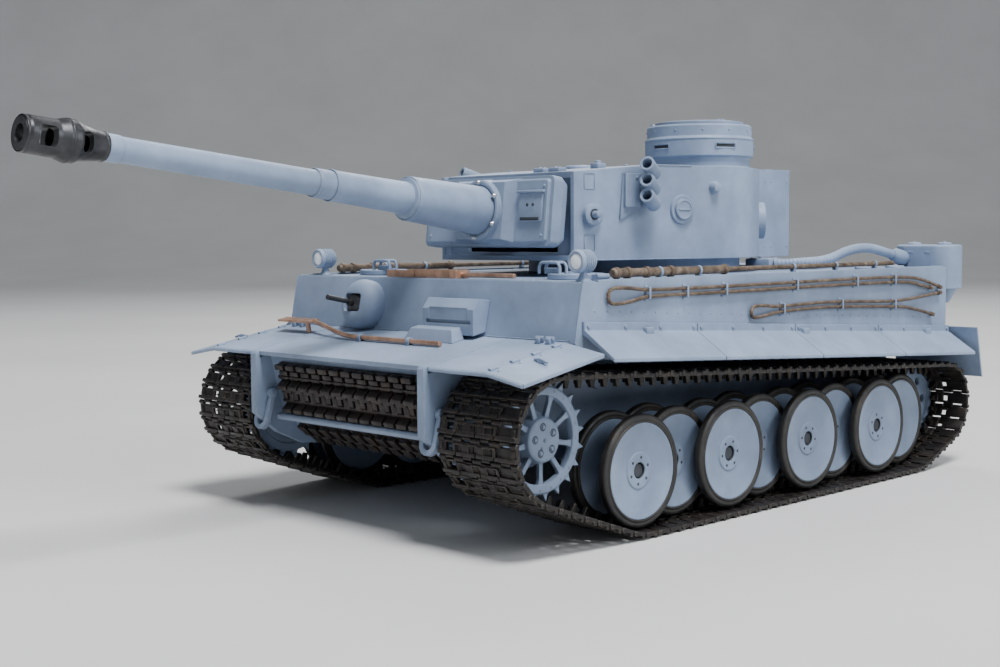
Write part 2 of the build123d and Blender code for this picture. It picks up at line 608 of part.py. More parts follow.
lamps, lenses = [], []
for side in (-1, 1):
    lamp_y = back(-23.5)
    with BuildPart() as lamp:
        bar((side * 88.9, lamp_y, 118.0), (0, 1, 0), 4.9, 8.5)
        bar((side * 88.9, lamp_y + 8.5, 118.0), (0, 1, 0), 3.6, 1.4)
        bar((side * 88.9, lamp_y - 0.5, 118.0), (0, 1, 0), 3.4, 2.5, mode=Mode.SUBTRACT)
        bar((side * 88.9, lamp_y + 4.6, DECK_Z + 0.8), (0, 0, 1), 1.8, 5.0)
        bar((side * 88.9, lamp_y + 4.6, DECK_Z), (0, 0, 1), 3.2, 2.0)
    lamps.append(lamp.part)
    with BuildPart() as lens:
        bar((side * 88.9, lamp_y + 2.0, 118.0), (0, -1, 0), 3.4, 1.6)
    lenses.append(lens.part)
save_group(lamps, "headlights")
save_group(lenses, "headlight_lenses")


# ---------------------------------------------------------------- hull hatches
def hull_hatch(side):
    with BuildPart() as hatch:
        bar((side * HATCH_X, HATCH_Y, DECK_Z + 0.2), (0, 0, 1), HATCH_R, 2.2)
        bar((side * HATCH_X, HATCH_Y, DECK_Z - 1.2), (0, 0, 1), HATCH_R - 2.0, 1.6)
        block(sorted((side * (HATCH_X + HATCH_R - 3), side * (HATCH_X + HATCH_R + 2.0))),
              (HATCH_Y - 4.0, HATCH_Y + 4.0), (DECK_Z + 0.2, DECK_Z + 2.4))
        bar((side * (HATCH_X + HATCH_R + 2.0), HATCH_Y - 4.0, DECK_Z + 1.5), (0, 1, 0), 1.2, 8.0)
        bar((side * (HATCH_X - 4.0), HATCH_Y, DECK_Z + 2.0), (0, 0, 1), 2.6, 1.4)
    return hatch.part


save(hull_hatch(1), "driver_hatch")
save(hull_hatch(-1), "radio_operator_hatch")


# ---------------------------------------------------------------- tools on the hull
def tube(points, radius, radii):
    """A round bar along straight runs joined by arcs."""
    first = (Vector(*points[1]) - Vector(*points[0])).normalized()
    with BuildPart() as piece:
        with BuildLine():
            FilletPolyline(*points, radius=radii)
        with BuildSketch(Plane(origin=points[0], z_dir=first)):
            Circle(radius)
        sweep()
    return piece.part


def arc_radii(points, share=0.45):
    """The largest arcs that a route's runs allow."""
    radii = []
    for before, here, after in zip(points, points[1:], points[2:]):
        run_in = Vector(*here) - Vector(*before)
        run_out = Vector(*after) - Vector(*here)
        turn = radians(run_in.get_angle(run_out))
        radii.append(share * min(run_in.length, run_out.length) / (sin(turn / 2) / cos(turn / 2)))
    return radii


def routed(name, points, radius):
    """A tube with the largest arcs, its volume printed beside section times length."""
    radii = arc_radii(points)
    piece = tube(points, radius, radii)
    length = FilletPolyline(*points, radius=radii).length
    print(name, "length", round(length, 1), "volume", round(piece.volume, 1),
          "section x length", round(pi * radius ** 2 * length, 1), "least radius", round(min(radii), 1))
    return piece


SHAFT_BAR_R = 1.1
BLADE_X = (-86.0, -60.0)
BLADE_FRONT, BLADE_REAR, BLADE_LIFT = -51.0, -45.4, 5.4


def over_glacis(x, distance_back, lift):
    """A point this high over the sloping front plate."""
    return (x, back(distance_back), glacis_height(distance_back) + lift)


with BuildPart() as shovel_blade:
    slab(*BLADE_X, over_glacis(0, BLADE_FRONT, BLADE_LIFT)[1:], over_glacis(0, BLADE_REAR, BLADE_LIFT)[1:],
         over_glacis(0, BLADE_REAR, BLADE_LIFT + 1.0)[1:], over_glacis(0, BLADE_FRONT, BLADE_LIFT + 1.0)[1:])
    bar(over_glacis(-64.0, -48.2, 0.1), (0, -GLACIS_SLOPE, 1), 1.2, BLADE_LIFT + 0.2)
SHAFT_ROUTE = [over_glacis(-60.0, -48.2, BLADE_LIFT + 0.5), over_glacis(-47.0, -51.4, 4.6),
               over_glacis(-28.0, -54.4, 1.6), over_glacis(38.4, -55.0, 1.5)]
shovel_shaft = routed("shovel shaft", SHAFT_ROUTE, SHAFT_BAR_R)
save_group([shovel_blade.part, shovel_shaft], "shovel")

deck_tools = []
with BuildPart() as cutters:
    block((-38.0, -21.0), (back(-21.0), back(-18.6)), (DECK_Z + 0.1, DECK_Z + 3.4), corner=0.8)
    block((-21.5, -16.0), (back(-22.2), back(-17.4)), (DECK_Z + 0.1, DECK_Z + 3.9), corner=0.8)
with BuildPart() as tool_box:
    block((-15.4, 9.6), (back(-22.5), back(-17.5)), (DECK_Z + 0.1, DECK_Z + 4.0), corner=0.6)
with BuildPart() as hammer:
    bar((15.0, back(-20.0), DECK_Z + 1.7), (1, 0, 0), 1.1, 34.0)
    block((10.6, 15.6), (back(-24.4), back(-15.6)), (DECK_Z + 0.1, DECK_Z + 4.0), corner=0.8)
save_group([cutters.part, tool_box.part, hammer.part], "deck_tools")

# ---------------------------------------------------------------- cables held by the hull
CABLE_R = 0.95
CABLE_X = UPPER_HALF + 1.6


def side_cable(side):
    """Two looped cables clipped to the hull side; each is one cable doubled back on itself."""
    upper = [(266.0, 98.4), (254.0, 101.6), (234.0, 105.3), (176.0, 105.6), (60.0, 105.0),
             (10.0, 105.1), (0.5, 106.2), (-7.5, 106.8), (-15.3, 106.4), (-15.6, 100.2),
             (-8.0, 99.9), (0.5, 100.8), (10.0, 102.7), (60.0, 102.4), (176.0, 103.0),
             (234.0, 102.6), (244.0, 99.9), (256.0, 98.6)]
    lower = [(266.0, 95.6), (252.0, 94.6), (236.0, 93.4), (216.0, 92.4), (166.0, 94.3), (140.0, 94.7),
             (108.0, 93.9), (95.0, 95.2), (86.4, 95.0), (85.8, 89.4), (95.0, 89.8),
             (108.0, 91.6), (140.0, 92.2), (166.0, 91.8), (216.0, 89.7), (232.0, 88.7), (258.0, 83.6)]
    pieces = []
    for name, route in (("upper side cable", upper), ("lower side cable", lower)):
        points = [(side * CABLE_X, back(distance), height) for distance, height in route]
        pieces.append(routed(name, points, CABLE_R))
    return pieces


def side_clips(side):
    pieces = []
    for distance, height in ((10.6, 103.9), (36.9, 103.7), (65.7, 103.7), (123.1, 104.1), (177.6, 104.3),
                             (215.4, 104.1), (112.0, 92.8), (163.6, 93.0), (215.7, 91.1)):
        with BuildPart() as clip:
            block(sorted((side * (UPPER_HALF + 0.05), side * (UPPER_HALF + 0.6))),
                  (back(distance - 0.9), back(distance + 0.9)), (height - 3.4, height + 3.4))
        pieces.append(clip.part)
    return pieces


save_group(side_cable(-1) + side_cable(1) + side_clips(-1) + side_clips(1), "tow_cables")

deck_cables = []
for side in (-1, 1):
    with BuildPart() as splice:
        bar((side * 94.0, back(-6.5), DECK_Z + 3.2), (0, 1, 0), 2.1, 40.0)
    with BuildPart() as sleeve:
        bar((side * 94.0, back(33.5), DECK_Z + 3.2), (0, 1, 0), 2.0, 39.0)
    with BuildPart() as cable:
        bar((side * 94.0, back(72.5), DECK_Z + 3.2), (0, 1, 0), 1.3, 152.0)
    deck_cables += [splice.part, sleeve.part, cable.part]
    for distance, radius in ((2.0, 2.1), (24.0, 2.1), (71.0, 2.0), (128.0, 1.3), (204.0, 1.3)):
        with BuildPart() as clip:
            low = DECK_Z + 0.8
            block(sorted((side * 92.9, side * 95.1)), (back(distance - 0.8), back(distance + 0.8)),
                  (low, DECK_Z + 3.2))
            bar((side * 94.0, back(distance - 2), DECK_Z + 3.2), (0, 1, 0), radius + 0.01, 4,
                mode=Mode.SUBTRACT)
        deck_cables.append(clip.part)
save_group(deck_cables, "deck_cables")


# ---------------------------------------------------------------- rear fittings
def air_cleaner(side):
    """A cyclone air cleaner at a rear corner: two drums in one rounded case with a cone below."""
    middle_x, middle_y = side * 80.5, back(288.0)
    with BuildPart() as case:
        with BuildSketch(Plane(origin=(middle_x, middle_y, 97.0))):
            RectangleRounded(37.0, 25.0, 11.5)
        extrude(amount=25.0)
        fillet(case.faces().sort_by(Axis.Z)[-1].edges(), radius=1.4)
        for offset_x in (-9.5, 9.5):
            with BuildSketch(Plane(origin=(middle_x + offset_x, middle_y, 97.0), z_dir=(0, 0, -1))):
                Circle(7.5)
            extrude(amount=8.0, taper=30)
        block((middle_x - 8, middle_x + 8), (back(REAR_BACK), back(276.5)), (100.0, 106.0))
    return case.part


HOSE_R = 2.6
HOSE_ROUTE = [(71.0, 264.0, 116.4), (71.5, 252.0, 118.6), (70.5, 236.0, 121.2), (69.0, 219.0, 119.6),
              (66.0, 204.0, 114.2), (57.0, 190.0, 113.2), (46.1, 184.0, 112.6)]
hoses = []
for side in (-1, 1):
    points = [(side * x, back(distance), height) for x, distance, height in HOSE_ROUTE]
    hoses.append(routed("air hose", points, HOSE_R))
    with BuildPart() as cone:
        with BuildSketch(Plane(origin=(side * 71.0, back(274.5), 114.4), z_dir=(0, -1, 0.19))):
            Circle(3.4)
        with BuildSketch(Plane(origin=(side * 71.0, back(264.1), 116.4), z_dir=(0, -1, 0.19))):
            Circle(4.2)
        loft()
    hoses.append(cone.part)
    with BuildPart() as trunk:
        block(sorted((side * 30.0, side * 46.0)), (back(178.0), back(190.0)), (DECK_Z, DECK_Z + 6.0),
              corner=2)
    hoses.append(trunk.part)
save_group([air_cleaner(-1), air_cleaner(1)], "air_cleaners")
save_group(hoses, "air_hoses")

mufflers = []
for side in (-1, 1):
    with BuildPart() as muffler:
        bar((side * 27.0, back(287.6), 66.0), (0, 0, 1), 11.6, 34.0)
        bar((side * 27.0, back(287.6), 100.0), (0, 0, 1), 4.0, 6.0)
        bar((side * 27.0, back(287.6), 60.0), (0, 0, 1), 4.6, 6.0)
        block((side * 27.0 - 5, side * 27.0 + 5), (back(REAR_BACK), back(278.0)), (70.0, 96.0))
        bar((side * 27.0, back(287.6), 95.0), (0, 0, 1), 2.8, 12.0, mode=Mode.SUBTRACT)
    mufflers.append(muffler.part)
save_group(mufflers, "exhaust_mufflers")


# ---------------------------------------------------------------- turret
def horseshoe(radius, half_front, front_back):
    """Plan of the turret: a round back with straight sides that close in to the front."""
    centre = back(TURRET_BACK)
    reach = TURRET_BACK - front_back
    spread = atan2(half_front, reach) + acos(radius / hypot(half_front, reach))
    tangent = (radius * sin(spread), centre - radius * cos(spread))
    front = back(front_back)
    with BuildLine() as edge:
        Line((-half_front, front), (half_front, front))
        Line((half_front, front), tangent)
        ThreePointArc(tangent, (0, centre + radius), (-tangent[0], tangent[1]))
        Line((-tangent[0], tangent[1]), (-half_front, front))
    make_face(edge.line)


# the straight sides' angle to the tank's length
WALL_ANGLE = (pi / 2 - atan2(TURRET_FRONT_HALF, TURRET_BACK - TURRET_FRONT_BACK)
              - acos(TURRET_R / hypot(TURRET_FRONT_HALF, TURRET_BACK - TURRET_FRONT_BACK)))


def wall_point(distance_back, z, out=0.0):
    """A point on the turret's straight left wall, moved outwards."""
    run = distance_back - TURRET_FRONT_BACK
    return Vector(TURRET_FRONT_HALF + run * sin(WALL_ANGLE) / cos(WALL_ANGLE), back(distance_back), z) \
        + Vector(cos(WALL_ANGLE), -sin(WALL_ANGLE), 0) * out


def mirrored(point, side):
    return Vector(point.X * side, point.Y, point.Z)


with BuildPart() as turret_shell:
    with BuildSketch(Plane.XY.offset(TURRET_BOTTOM)):
        horseshoe(TURRET_R, TURRET_FRONT_HALF, TURRET_FRONT_BACK)
    extrude(amount=TURRET_ROOF - TURRET_BOTTOM)
    slab(-80, 80, (back(0), 156.4), (back(68.0), TURRET_ROOF), (back(68.0), 170), (back(0), 170),
         mode=Mode.SUBTRACT)
    with BuildSketch(Plane.XY.offset(TURRET_BOTTOM + SHELL)):
        horseshoe(TURRET_R - SHELL, TURRET_FRONT_HALF - SHELL, TURRET_FRONT_BACK + 7.0)
    extrude(amount=36.0, mode=Mode.SUBTRACT)
    block(both(TURRET_FRONT_HALF - SHELL + 0.4), (back(10.0), back(27.0)), (TURRET_BOTTOM + SHELL, 155.5),
          mode=Mode.SUBTRACT)
    block(both(TURRET_FRONT_HALF - SHELL + 0.4), (back(10.0), back(25.5)), (150.0, 170.0), mode=Mode.SUBTRACT)
    block(both(31.0), (back(20.0), back(40.0)), (121.0, 154.0), mode=Mode.SUBTRACT)
    bar((0, back(TURRET_BACK), TURRET_BOTTOM), (0, 0, -1), 56.0, 7.0)
    bar((0, back(TURRET_BACK), DECK_Z + 1.0), (0, 0, -1), RING_HOLE_R - 0.3, 7.0)
    bar((0, back(TURRET_BACK), TURRET_BOTTOM + 4), (0, 0, -1), 46.0, 20.0, mode=Mode.SUBTRACT)
    bar((29.0, back(138.0), TURRET_ROOF - 8), (0, 0, 1), 19.0, 10.0, mode=Mode.SUBTRACT)
    block((-45.0, -15.0), (back(104.0), back(128.0)), (TURRET_ROOF - 8, TURRET_ROOF + 2), mode=Mode.SUBTRACT)
    outward = Vector(cos(WALL_ANGLE), -sin(WALL_ANGLE), 0)
    for side in (-1, 1):
        direction = mirrored(outward, side)
        bar(mirrored(wall_point(84.4, 141.0, -0.5), side), direction, 6.9, 1.6)
        bar(mirrored(wall_point(84.4, 141.0, 1.0), side), direction, 5.0, 1.2)
        bar(mirrored(wall_point(32.0, 138.5, -1.0), side), direction, 5.0, 4.0)
        bar(mirrored(wall_point(32.0, 138.5, 2.0), side), direction, 1.7, 4.4)
        bracket = sorted((side * 35.5, side * 44.4))
        block(bracket, (back(TRUNNION_BACK - 6), back(TRUNNION_BACK + 6)), (128.0, 146.0))
        bar((side * 34, back(TRUNNION_BACK), TRUNNION_Z), (side, 0, 0), TRUNNION_R + RUNNING_FIT, 10.6,
            mode=Mode.SUBTRACT)
    port = radians(44.0)
    bar((60.5 * cos(port), back(TURRET_BACK) + 60.5 * sin(port), 136.0), (cos(port), sin(port), 0), 9.6, 8.6)
    bar((0, back(76.0), TURRET_ROOF - 1), (0, 0, 1), 7.0, 2.2)
save(turret_shell.part, "turret_shell")

CUPOLA_X, CUPOLA_Y = 29.0, back(138.0)
with BuildPart() as cupola:
    with BuildSketch(Plane(origin=(CUPOLA_X, CUPOLA_Y, 0), x_dir=(1, 0, 0), z_dir=(0, -1, 0))):
        outline((19.0, TURRET_ROOF), (26.4, TURRET_ROOF), (26.4, 168.2), (28.2, 169.0), (28.2, 178.0),
                (27.2, 179.2), (27.2, 184.4), (26.4, 185.2), (19.0, 185.2))
    revolve(axis=Axis((CUPOLA_X, CUPOLA_Y, 0), (0, 0, 1)))
    for number in range(5):
        turned = radians(72 * number - 24)
        direction = Vector(cos(turned), sin(turned), 0)
        with BuildSketch(Plane(origin=Vector(CUPOLA_X, CUPOLA_Y, 174.0) + direction * 26.6,
                               x_dir=(-sin(turned), cos(turned), 0), z_dir=direction)):
            Rectangle(10.0, 1.5)
        extrude(amount=3.0, mode=Mode.SUBTRACT)
save(cupola.part, "cupola")

with BuildPart() as cupola_hatch:
    bar((CUPOLA_X, CUPOLA_Y, 185.3), (0, 0, 1), 23.0, 1.6)
    bar((CUPOLA_X, CUPOLA_Y, 182.0), (0, 0, 1), 18.4, 3.4)
    block((CUPOLA_X - 28.4, CUPOLA_X - 20.0), (CUPOLA_Y - 4.5, CUPOLA_Y + 4.5), (185.4, 186.9))
    bar((CUPOLA_X - 28.4, CUPOLA_Y - 4.5, 186.8), (0, 1, 0), 1.3, 9.0)
    bar((CUPOLA_X + 12.0, CUPOLA_Y, 186.5), (0, 0, 1), 1.6, 2.0)
save(cupola_hatch.part, "cupola_hatch")

with BuildPart() as loader_hatch:
    block((-46.5, -13.5), (back(102.5), back(129.5)), (TURRET_ROOF + 0.2, TURRET_ROOF + 2.0), corner=2)
    block((-44.6, -15.4), (back(104.4), back(127.6)), (TURRET_ROOF - 1.4, TURRET_ROOF + 0.4), corner=1)
    bar((-40.0, back(101.4), TURRET_ROOF + 1.5), (1, 0, 0), 1.2, 6.0)
    bar((-26.0, back(101.4), TURRET_ROOF + 1.5), (1, 0, 0), 1.2, 6.0)
    block((-40.0, -34.0), (back(101.4), back(104.0)), (TURRET_ROOF + 0.4, TURRET_ROOF + 1.8))
    block((-26.0, -20.0), (back(101.4), back(104.0)), (TURRET_ROOF + 0.4, TURRET_ROOF + 1.8))
    bar((-30.0, back(122.0), TURRET_ROOF + 1.8), (0, 0, 1), 2.2, 1.4)
save(loader_hatch.part, "loader_hatch")

BIN_HALF = 38.0
with BuildPart() as stowage_bin:
    block(both(BIN_HALF), (back(150.0), back(209.5)), (116.2, 163.4), corner=1.5)
    bar((0, back(TURRET_BACK), 100), (0, 0, 1), TURRET_R + 0.25, 80, mode=Mode.SUBTRACT)
    block(both(BIN_HALF - 2), (back(187.5), back(207.5)), (118.2, 161.4), mode=Mode.SUBTRACT)
save(stowage_bin.part.solids().sort_by(SortBy.VOLUME)[-1], "stowage_bin")


def launcher_group(side):
    """Three smoke tubes on a bracket, one above the other, aimed forwards, outwards and up."""
    aim = Vector(0.36, -0.87, 0.34).normalized()
    pieces = []
    for height in (144.6, 152.0, 159.4):
        rear = wall_point(62.0, height, 6.2) - aim * 4.0
        with BuildPart() as tube_piece:
            bar(mirrored(rear, side), mirrored(aim, side), 3.5, 12.5)
            bar(mirrored(rear + aim * 2.5, side), mirrored(aim, side), 2.4, 12, mode=Mode.SUBTRACT)
        pieces.append(tube_piece.part)
    return pieces


launchers = launcher_group(-1) + launcher_group(1)
for side in (-1, 1):
    with BuildPart() as bracket:
        foot = mirrored(wall_point(54.0, 150.0, 0.1), side)
        with BuildSketch(Plane(origin=foot, x_dir=(-sin(WALL_ANGLE) * side, -cos(WALL_ANGLE), 0),
                               z_dir=mirrored(outward, side))):
            Rectangle(9.0, 16.0)
        extrude(amount=2.6)
    launchers.append(bracket.part)
save_group(launchers, "smoke_launchers")


# ---------------------------------------------------------------- gun
ELEVATION = radians(GUN_ELEVATION)
BORE = Vector(0, -cos(ELEVATION), sin(ELEVATION))
TRUNNION = Vector(0, back(TRUNNION_BACK), TRUNNION_Z)


def gun_plane(travel):
    """Square to the barrel at this distance in front of the trunnions; local y points up."""
    return Plane(origin=TRUNNION + BORE * travel, x_dir=(1, 0, 0), z_dir=BORE)


def turned(*profile):
    """A turned piece on the barrel's axis, its half section given as (distance, radius) points."""
    with BuildSketch(Plane(origin=TRUNNION, x_dir=BORE, z_dir=(1, 0, 0))) as half:
        outline(*profile)
    revolve(half.sketch, axis=Axis(TRUNNION, BORE))


with BuildPart() as gun_mantlet:
    with BuildSketch(gun_plane(18.5)):
        RectangleRounded(84.0, 28.0, 2.0)
    with BuildSketch(gun_plane(22.5)):
        RectangleRounded(86.0, 33.0, 3.0)
    loft()
    with BuildSketch(gun_plane(22.5)):
        RectangleRounded(86.0, 33.0, 3.0)
    extrude(amount=6.0)
    with BuildSketch(gun_plane(28.5)):
        RectangleRounded(82.0, 30.0, 2.0)
    extrude(amount=1.4, taper=30)
    with BuildSketch(gun_plane(28.0)):
        Rectangle(46.0, 31.0)
    with BuildSketch(gun_plane(33.5)):
        Rectangle(31.0, 27.0)
    loft()
    turned((22.5, 0), (22.5, 9), (-20.0, 9), (-20.0, 0))
    turned((28.0, 0), (28.0, 15.6), (35.0, 14.6), (35.0, 0))
    with BuildSketch(gun_plane(29.0)):
        with Locations((31.0, 1.5)):
            RectangleRounded(14.0, 13.0, 1.0)
    extrude(amount=2.0)
    for side in (-1, 1):
        bar(TRUNNION, (side, 0, 0), TRUNNION_R, 43.0)
    for number in range(6):
        spot = radians(60 * number + 30)
        with BuildSketch(gun_plane(35.0)):
            with Locations((13.0 * cos(spot), 13.0 * sin(spot))):
                Circle(1.1)
        extrude(amount=0.9)
save(gun_mantlet.part, "gun_mantlet")

with BuildPart() as gun_barrel:
    turned((35.05, 0), (35.05, 11.6), (78.0, 10.2), (80.5, 9.4), (81.0, 7.4), (123.0, 6.8), (123.5, 6.4),
           (131.0, 6.4), (133.0, 5.6), (224.5, 5.1), (225.0, 5.5), (230.5, 5.5), (230.5, 0))
    turned((200.0, 0), (200.0, 3.2), (231.0, 3.2), (231.0, 0))
with BuildPart() as bore_cut:
    turned((205.0, 0), (205.0, 3.2), (240.0, 3.2), (240.0, 0))
with BuildPart() as muzzle_brake:
    turned((230.6, 3.2), (230.6, 5.6), (236.5, 6.3), (241.0, 7.2), (243.5, 8.3), (247.5, 8.3), (251.0, 7.3),
           (262.0, 7.2), (264.3, 6.2), (264.3, 3.6))
    for travel, width in ((238.2, 4.4), (252.6, 7.0)):
        with BuildSketch(Plane(origin=TRUNNION + BORE * (travel + width / 2), x_dir=BORE,
                               z_dir=(1, 0, 0))):
            RectangleRounded(width, 7.6, 1.4)
        extrude(amount=12, both=True, mode=Mode.SUBTRACT)
save_group([gun_barrel.part - bore_cut.part, muzzle_brake.part], "gun_barrel")


# ---------------------------------------------------------------- what the hull holds
gearboxes = []
for side in (-1, 1):
    y, z = back(SPROCKET_BACK), SPROCKET_Z
    with BuildPart() as gear_case:
        start = min(side * 18.0, side * 55.6)
        slab(start, start + 37.6, (back(-66.3), 48.3), (back(-66.0), 58.0), (back(-30.0), 58.0),
             (back(-30.0), 36.5), (back(-52.0), 36.5))
        bar((side * 45.5, y, z), (side, 0, 0), 2.0 + RUNNING_FIT, 20.0, mode=Mode.SUBTRACT)
    gearboxes.append(gear_case.part)
    with BuildPart() as motor:
        bar((side * 30.0, back(-29.9), 49.0), (0, 1, 0), 12.0, 38.0)
        bar((side * 30.0, back(8.1), 49.0), (0, 1, 0), 4.0, 3.0)
    gearboxes.append(motor.part)
save_group(gearboxes, "drive_gearboxes")

with BuildPart() as battery_pack:
    block((-50.0, 50.0), (back(120.0), back(165.0)), (HULL_BOTTOM + SHELL, 56.0), corner=3)
save(battery_pack.part, "battery_pack")

with BuildPart() as control_board:
    block((-45.0, 45.0), (back(28.0), back(84.0)), (44.0, 45.6), corner=1)
    for x, y in ((-25, 40), (5, 44), (28, 66)):
        block((x - 8, x + 8), (back(y - 6), back(y + 6)), (45.5, 50.0))
    for x in (-41, 41):
        for y in (32, 80):
            bar((x, back(y), HULL_BOTTOM + SHELL), (0, 0, 1), 2.2, 44.1 - HULL_BOTTOM - SHELL)
save(control_board.part, "control_board")

with BuildPart() as speaker:
    bar((0, back(215.0), HULL_BOTTOM + SHELL), (0, 0, 1), 22.0, 6.2)
    bar((0, back(215.0), 38.0), (0, 0, 1), 12.0, 9.0)
save(speaker.part, "speaker")

with BuildPart() as power_switch:
    block((-4.5, 4.5), (back(SWITCH_BACK - 0.5), back(SWITCH_BACK + 6.5)), (HULL_BOTTOM + SHELL + 0.1, 36.4))
    block((-2.6, 2.6), (back(SWITCH_BACK + 1.0), back(SWITCH_BACK + 4.5)), (28.2, 33.0))
save(power_switch.part, "power_switch")

RING_TEETH, PINION_TEETH, RING_GEAR_R = 90, 15, 42.0
PINION_R = RING_GEAR_R * PINION_TEETH / RING_TEETH
PINION_Y = back(TURRET_BACK) - (RING_GEAR_R - PINION_R)
with BuildPart() as ring_gear:
    with BuildSketch(Plane.XY.offset(104.0)):
        with Locations((0, back(TURRET_BACK))):
            Circle(46.0)
            Circle(RING_GEAR_R + 1.5, mode=Mode.SUBTRACT)
            with PolarLocations(0, RING_TEETH, start_angle=-90):
                outline((RING_GEAR_R + 1.8, -0.75), (RING_GEAR_R - 1.1, -0.3), (RING_GEAR_R - 1.1, 0.3),
                        (RING_GEAR_R + 1.8, 0.75))
    extrude(amount=4.0)
save(ring_gear.part, "turret_ring_gear")

with BuildPart() as traverse_pinion:
    with BuildSketch(Plane.XY.offset(103.8)):
        with Locations((0, PINION_Y)):
            Circle(PINION_R - 1.5)
            with PolarLocations(0, PINION_TEETH, start_angle=-90 + 180 / PINION_TEETH):
                outline((PINION_R - 1.8, -0.75), (PINION_R + 1.1, -0.3), (PINION_R + 1.1, 0.3),
                        (PINION_R - 1.8, 0.75))
    extrude(amount=4.4)
    bar((0, PINION_Y, 90.0), (0, 0, 1), 1.5, 14.0)
save(traverse_pinion.part, "traverse_pinion")

with BuildPart() as traverse_motor:
    block((-16.0, 16.0), (PINION_Y - 12, PINION_Y + 12), (83.0, 100.0), corner=2)
    bar((0, PINION_Y, 83.0), (0, 0, -1), 9.0, 20.0)
    bar((0, PINION_Y, 89.8), (0, 0, 1), 1.5 + RUNNING_FIT, 12.0, mode=Mode.SUBTRACT)
    block((-66.0, 66.0), (PINION_Y - 10, PINION_Y + 10), (UPPER_FLOOR_Z + 2.0, 83.0))
save(traverse_motor.part, "traverse_motor")
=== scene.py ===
"""Looks of the radio-controlled tank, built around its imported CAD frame.

Shapes are made in millimetres in the frame's axes and turned into metres when a piece is finished.
Distances called "back" are measured behind the front road wheels' axle, as in the part's source.
"""

from math import acos, asin, atan2, cos, hypot, pi, radians, sin

import bmesh
import bpy
from mathutils import Matrix, Vector


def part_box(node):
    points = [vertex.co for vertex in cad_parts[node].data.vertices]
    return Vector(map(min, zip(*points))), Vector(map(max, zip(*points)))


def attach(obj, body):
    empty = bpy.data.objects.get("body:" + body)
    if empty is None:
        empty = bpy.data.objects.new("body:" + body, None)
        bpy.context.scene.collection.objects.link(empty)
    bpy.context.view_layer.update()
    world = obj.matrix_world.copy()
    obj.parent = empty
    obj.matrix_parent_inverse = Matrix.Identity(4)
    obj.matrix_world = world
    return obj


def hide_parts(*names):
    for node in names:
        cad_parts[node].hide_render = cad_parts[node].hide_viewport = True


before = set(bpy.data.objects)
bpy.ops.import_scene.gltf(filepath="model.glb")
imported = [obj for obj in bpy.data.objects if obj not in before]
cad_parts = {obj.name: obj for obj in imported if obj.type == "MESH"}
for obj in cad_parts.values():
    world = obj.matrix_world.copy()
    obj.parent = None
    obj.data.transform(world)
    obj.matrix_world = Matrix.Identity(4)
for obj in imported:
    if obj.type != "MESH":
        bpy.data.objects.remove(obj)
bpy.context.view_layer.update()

MM = 0.001


def node_middle(node):
    low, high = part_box(node)
    return (low + high) / 2 / MM


FRONT_AXLE = node_middle("road_wheels_left_1")
AXLE_STEP = node_middle("road_wheels_left_2").y - FRONT_AXLE.y
SPROCKET = node_middle("sprocket_left")
IDLER = node_middle("idler_left")
WHEEL_Z = FRONT_AXLE.z


def back(distance):
    """Y of a point this far behind the front road axle."""
    return FRONT_AXLE.y + distance


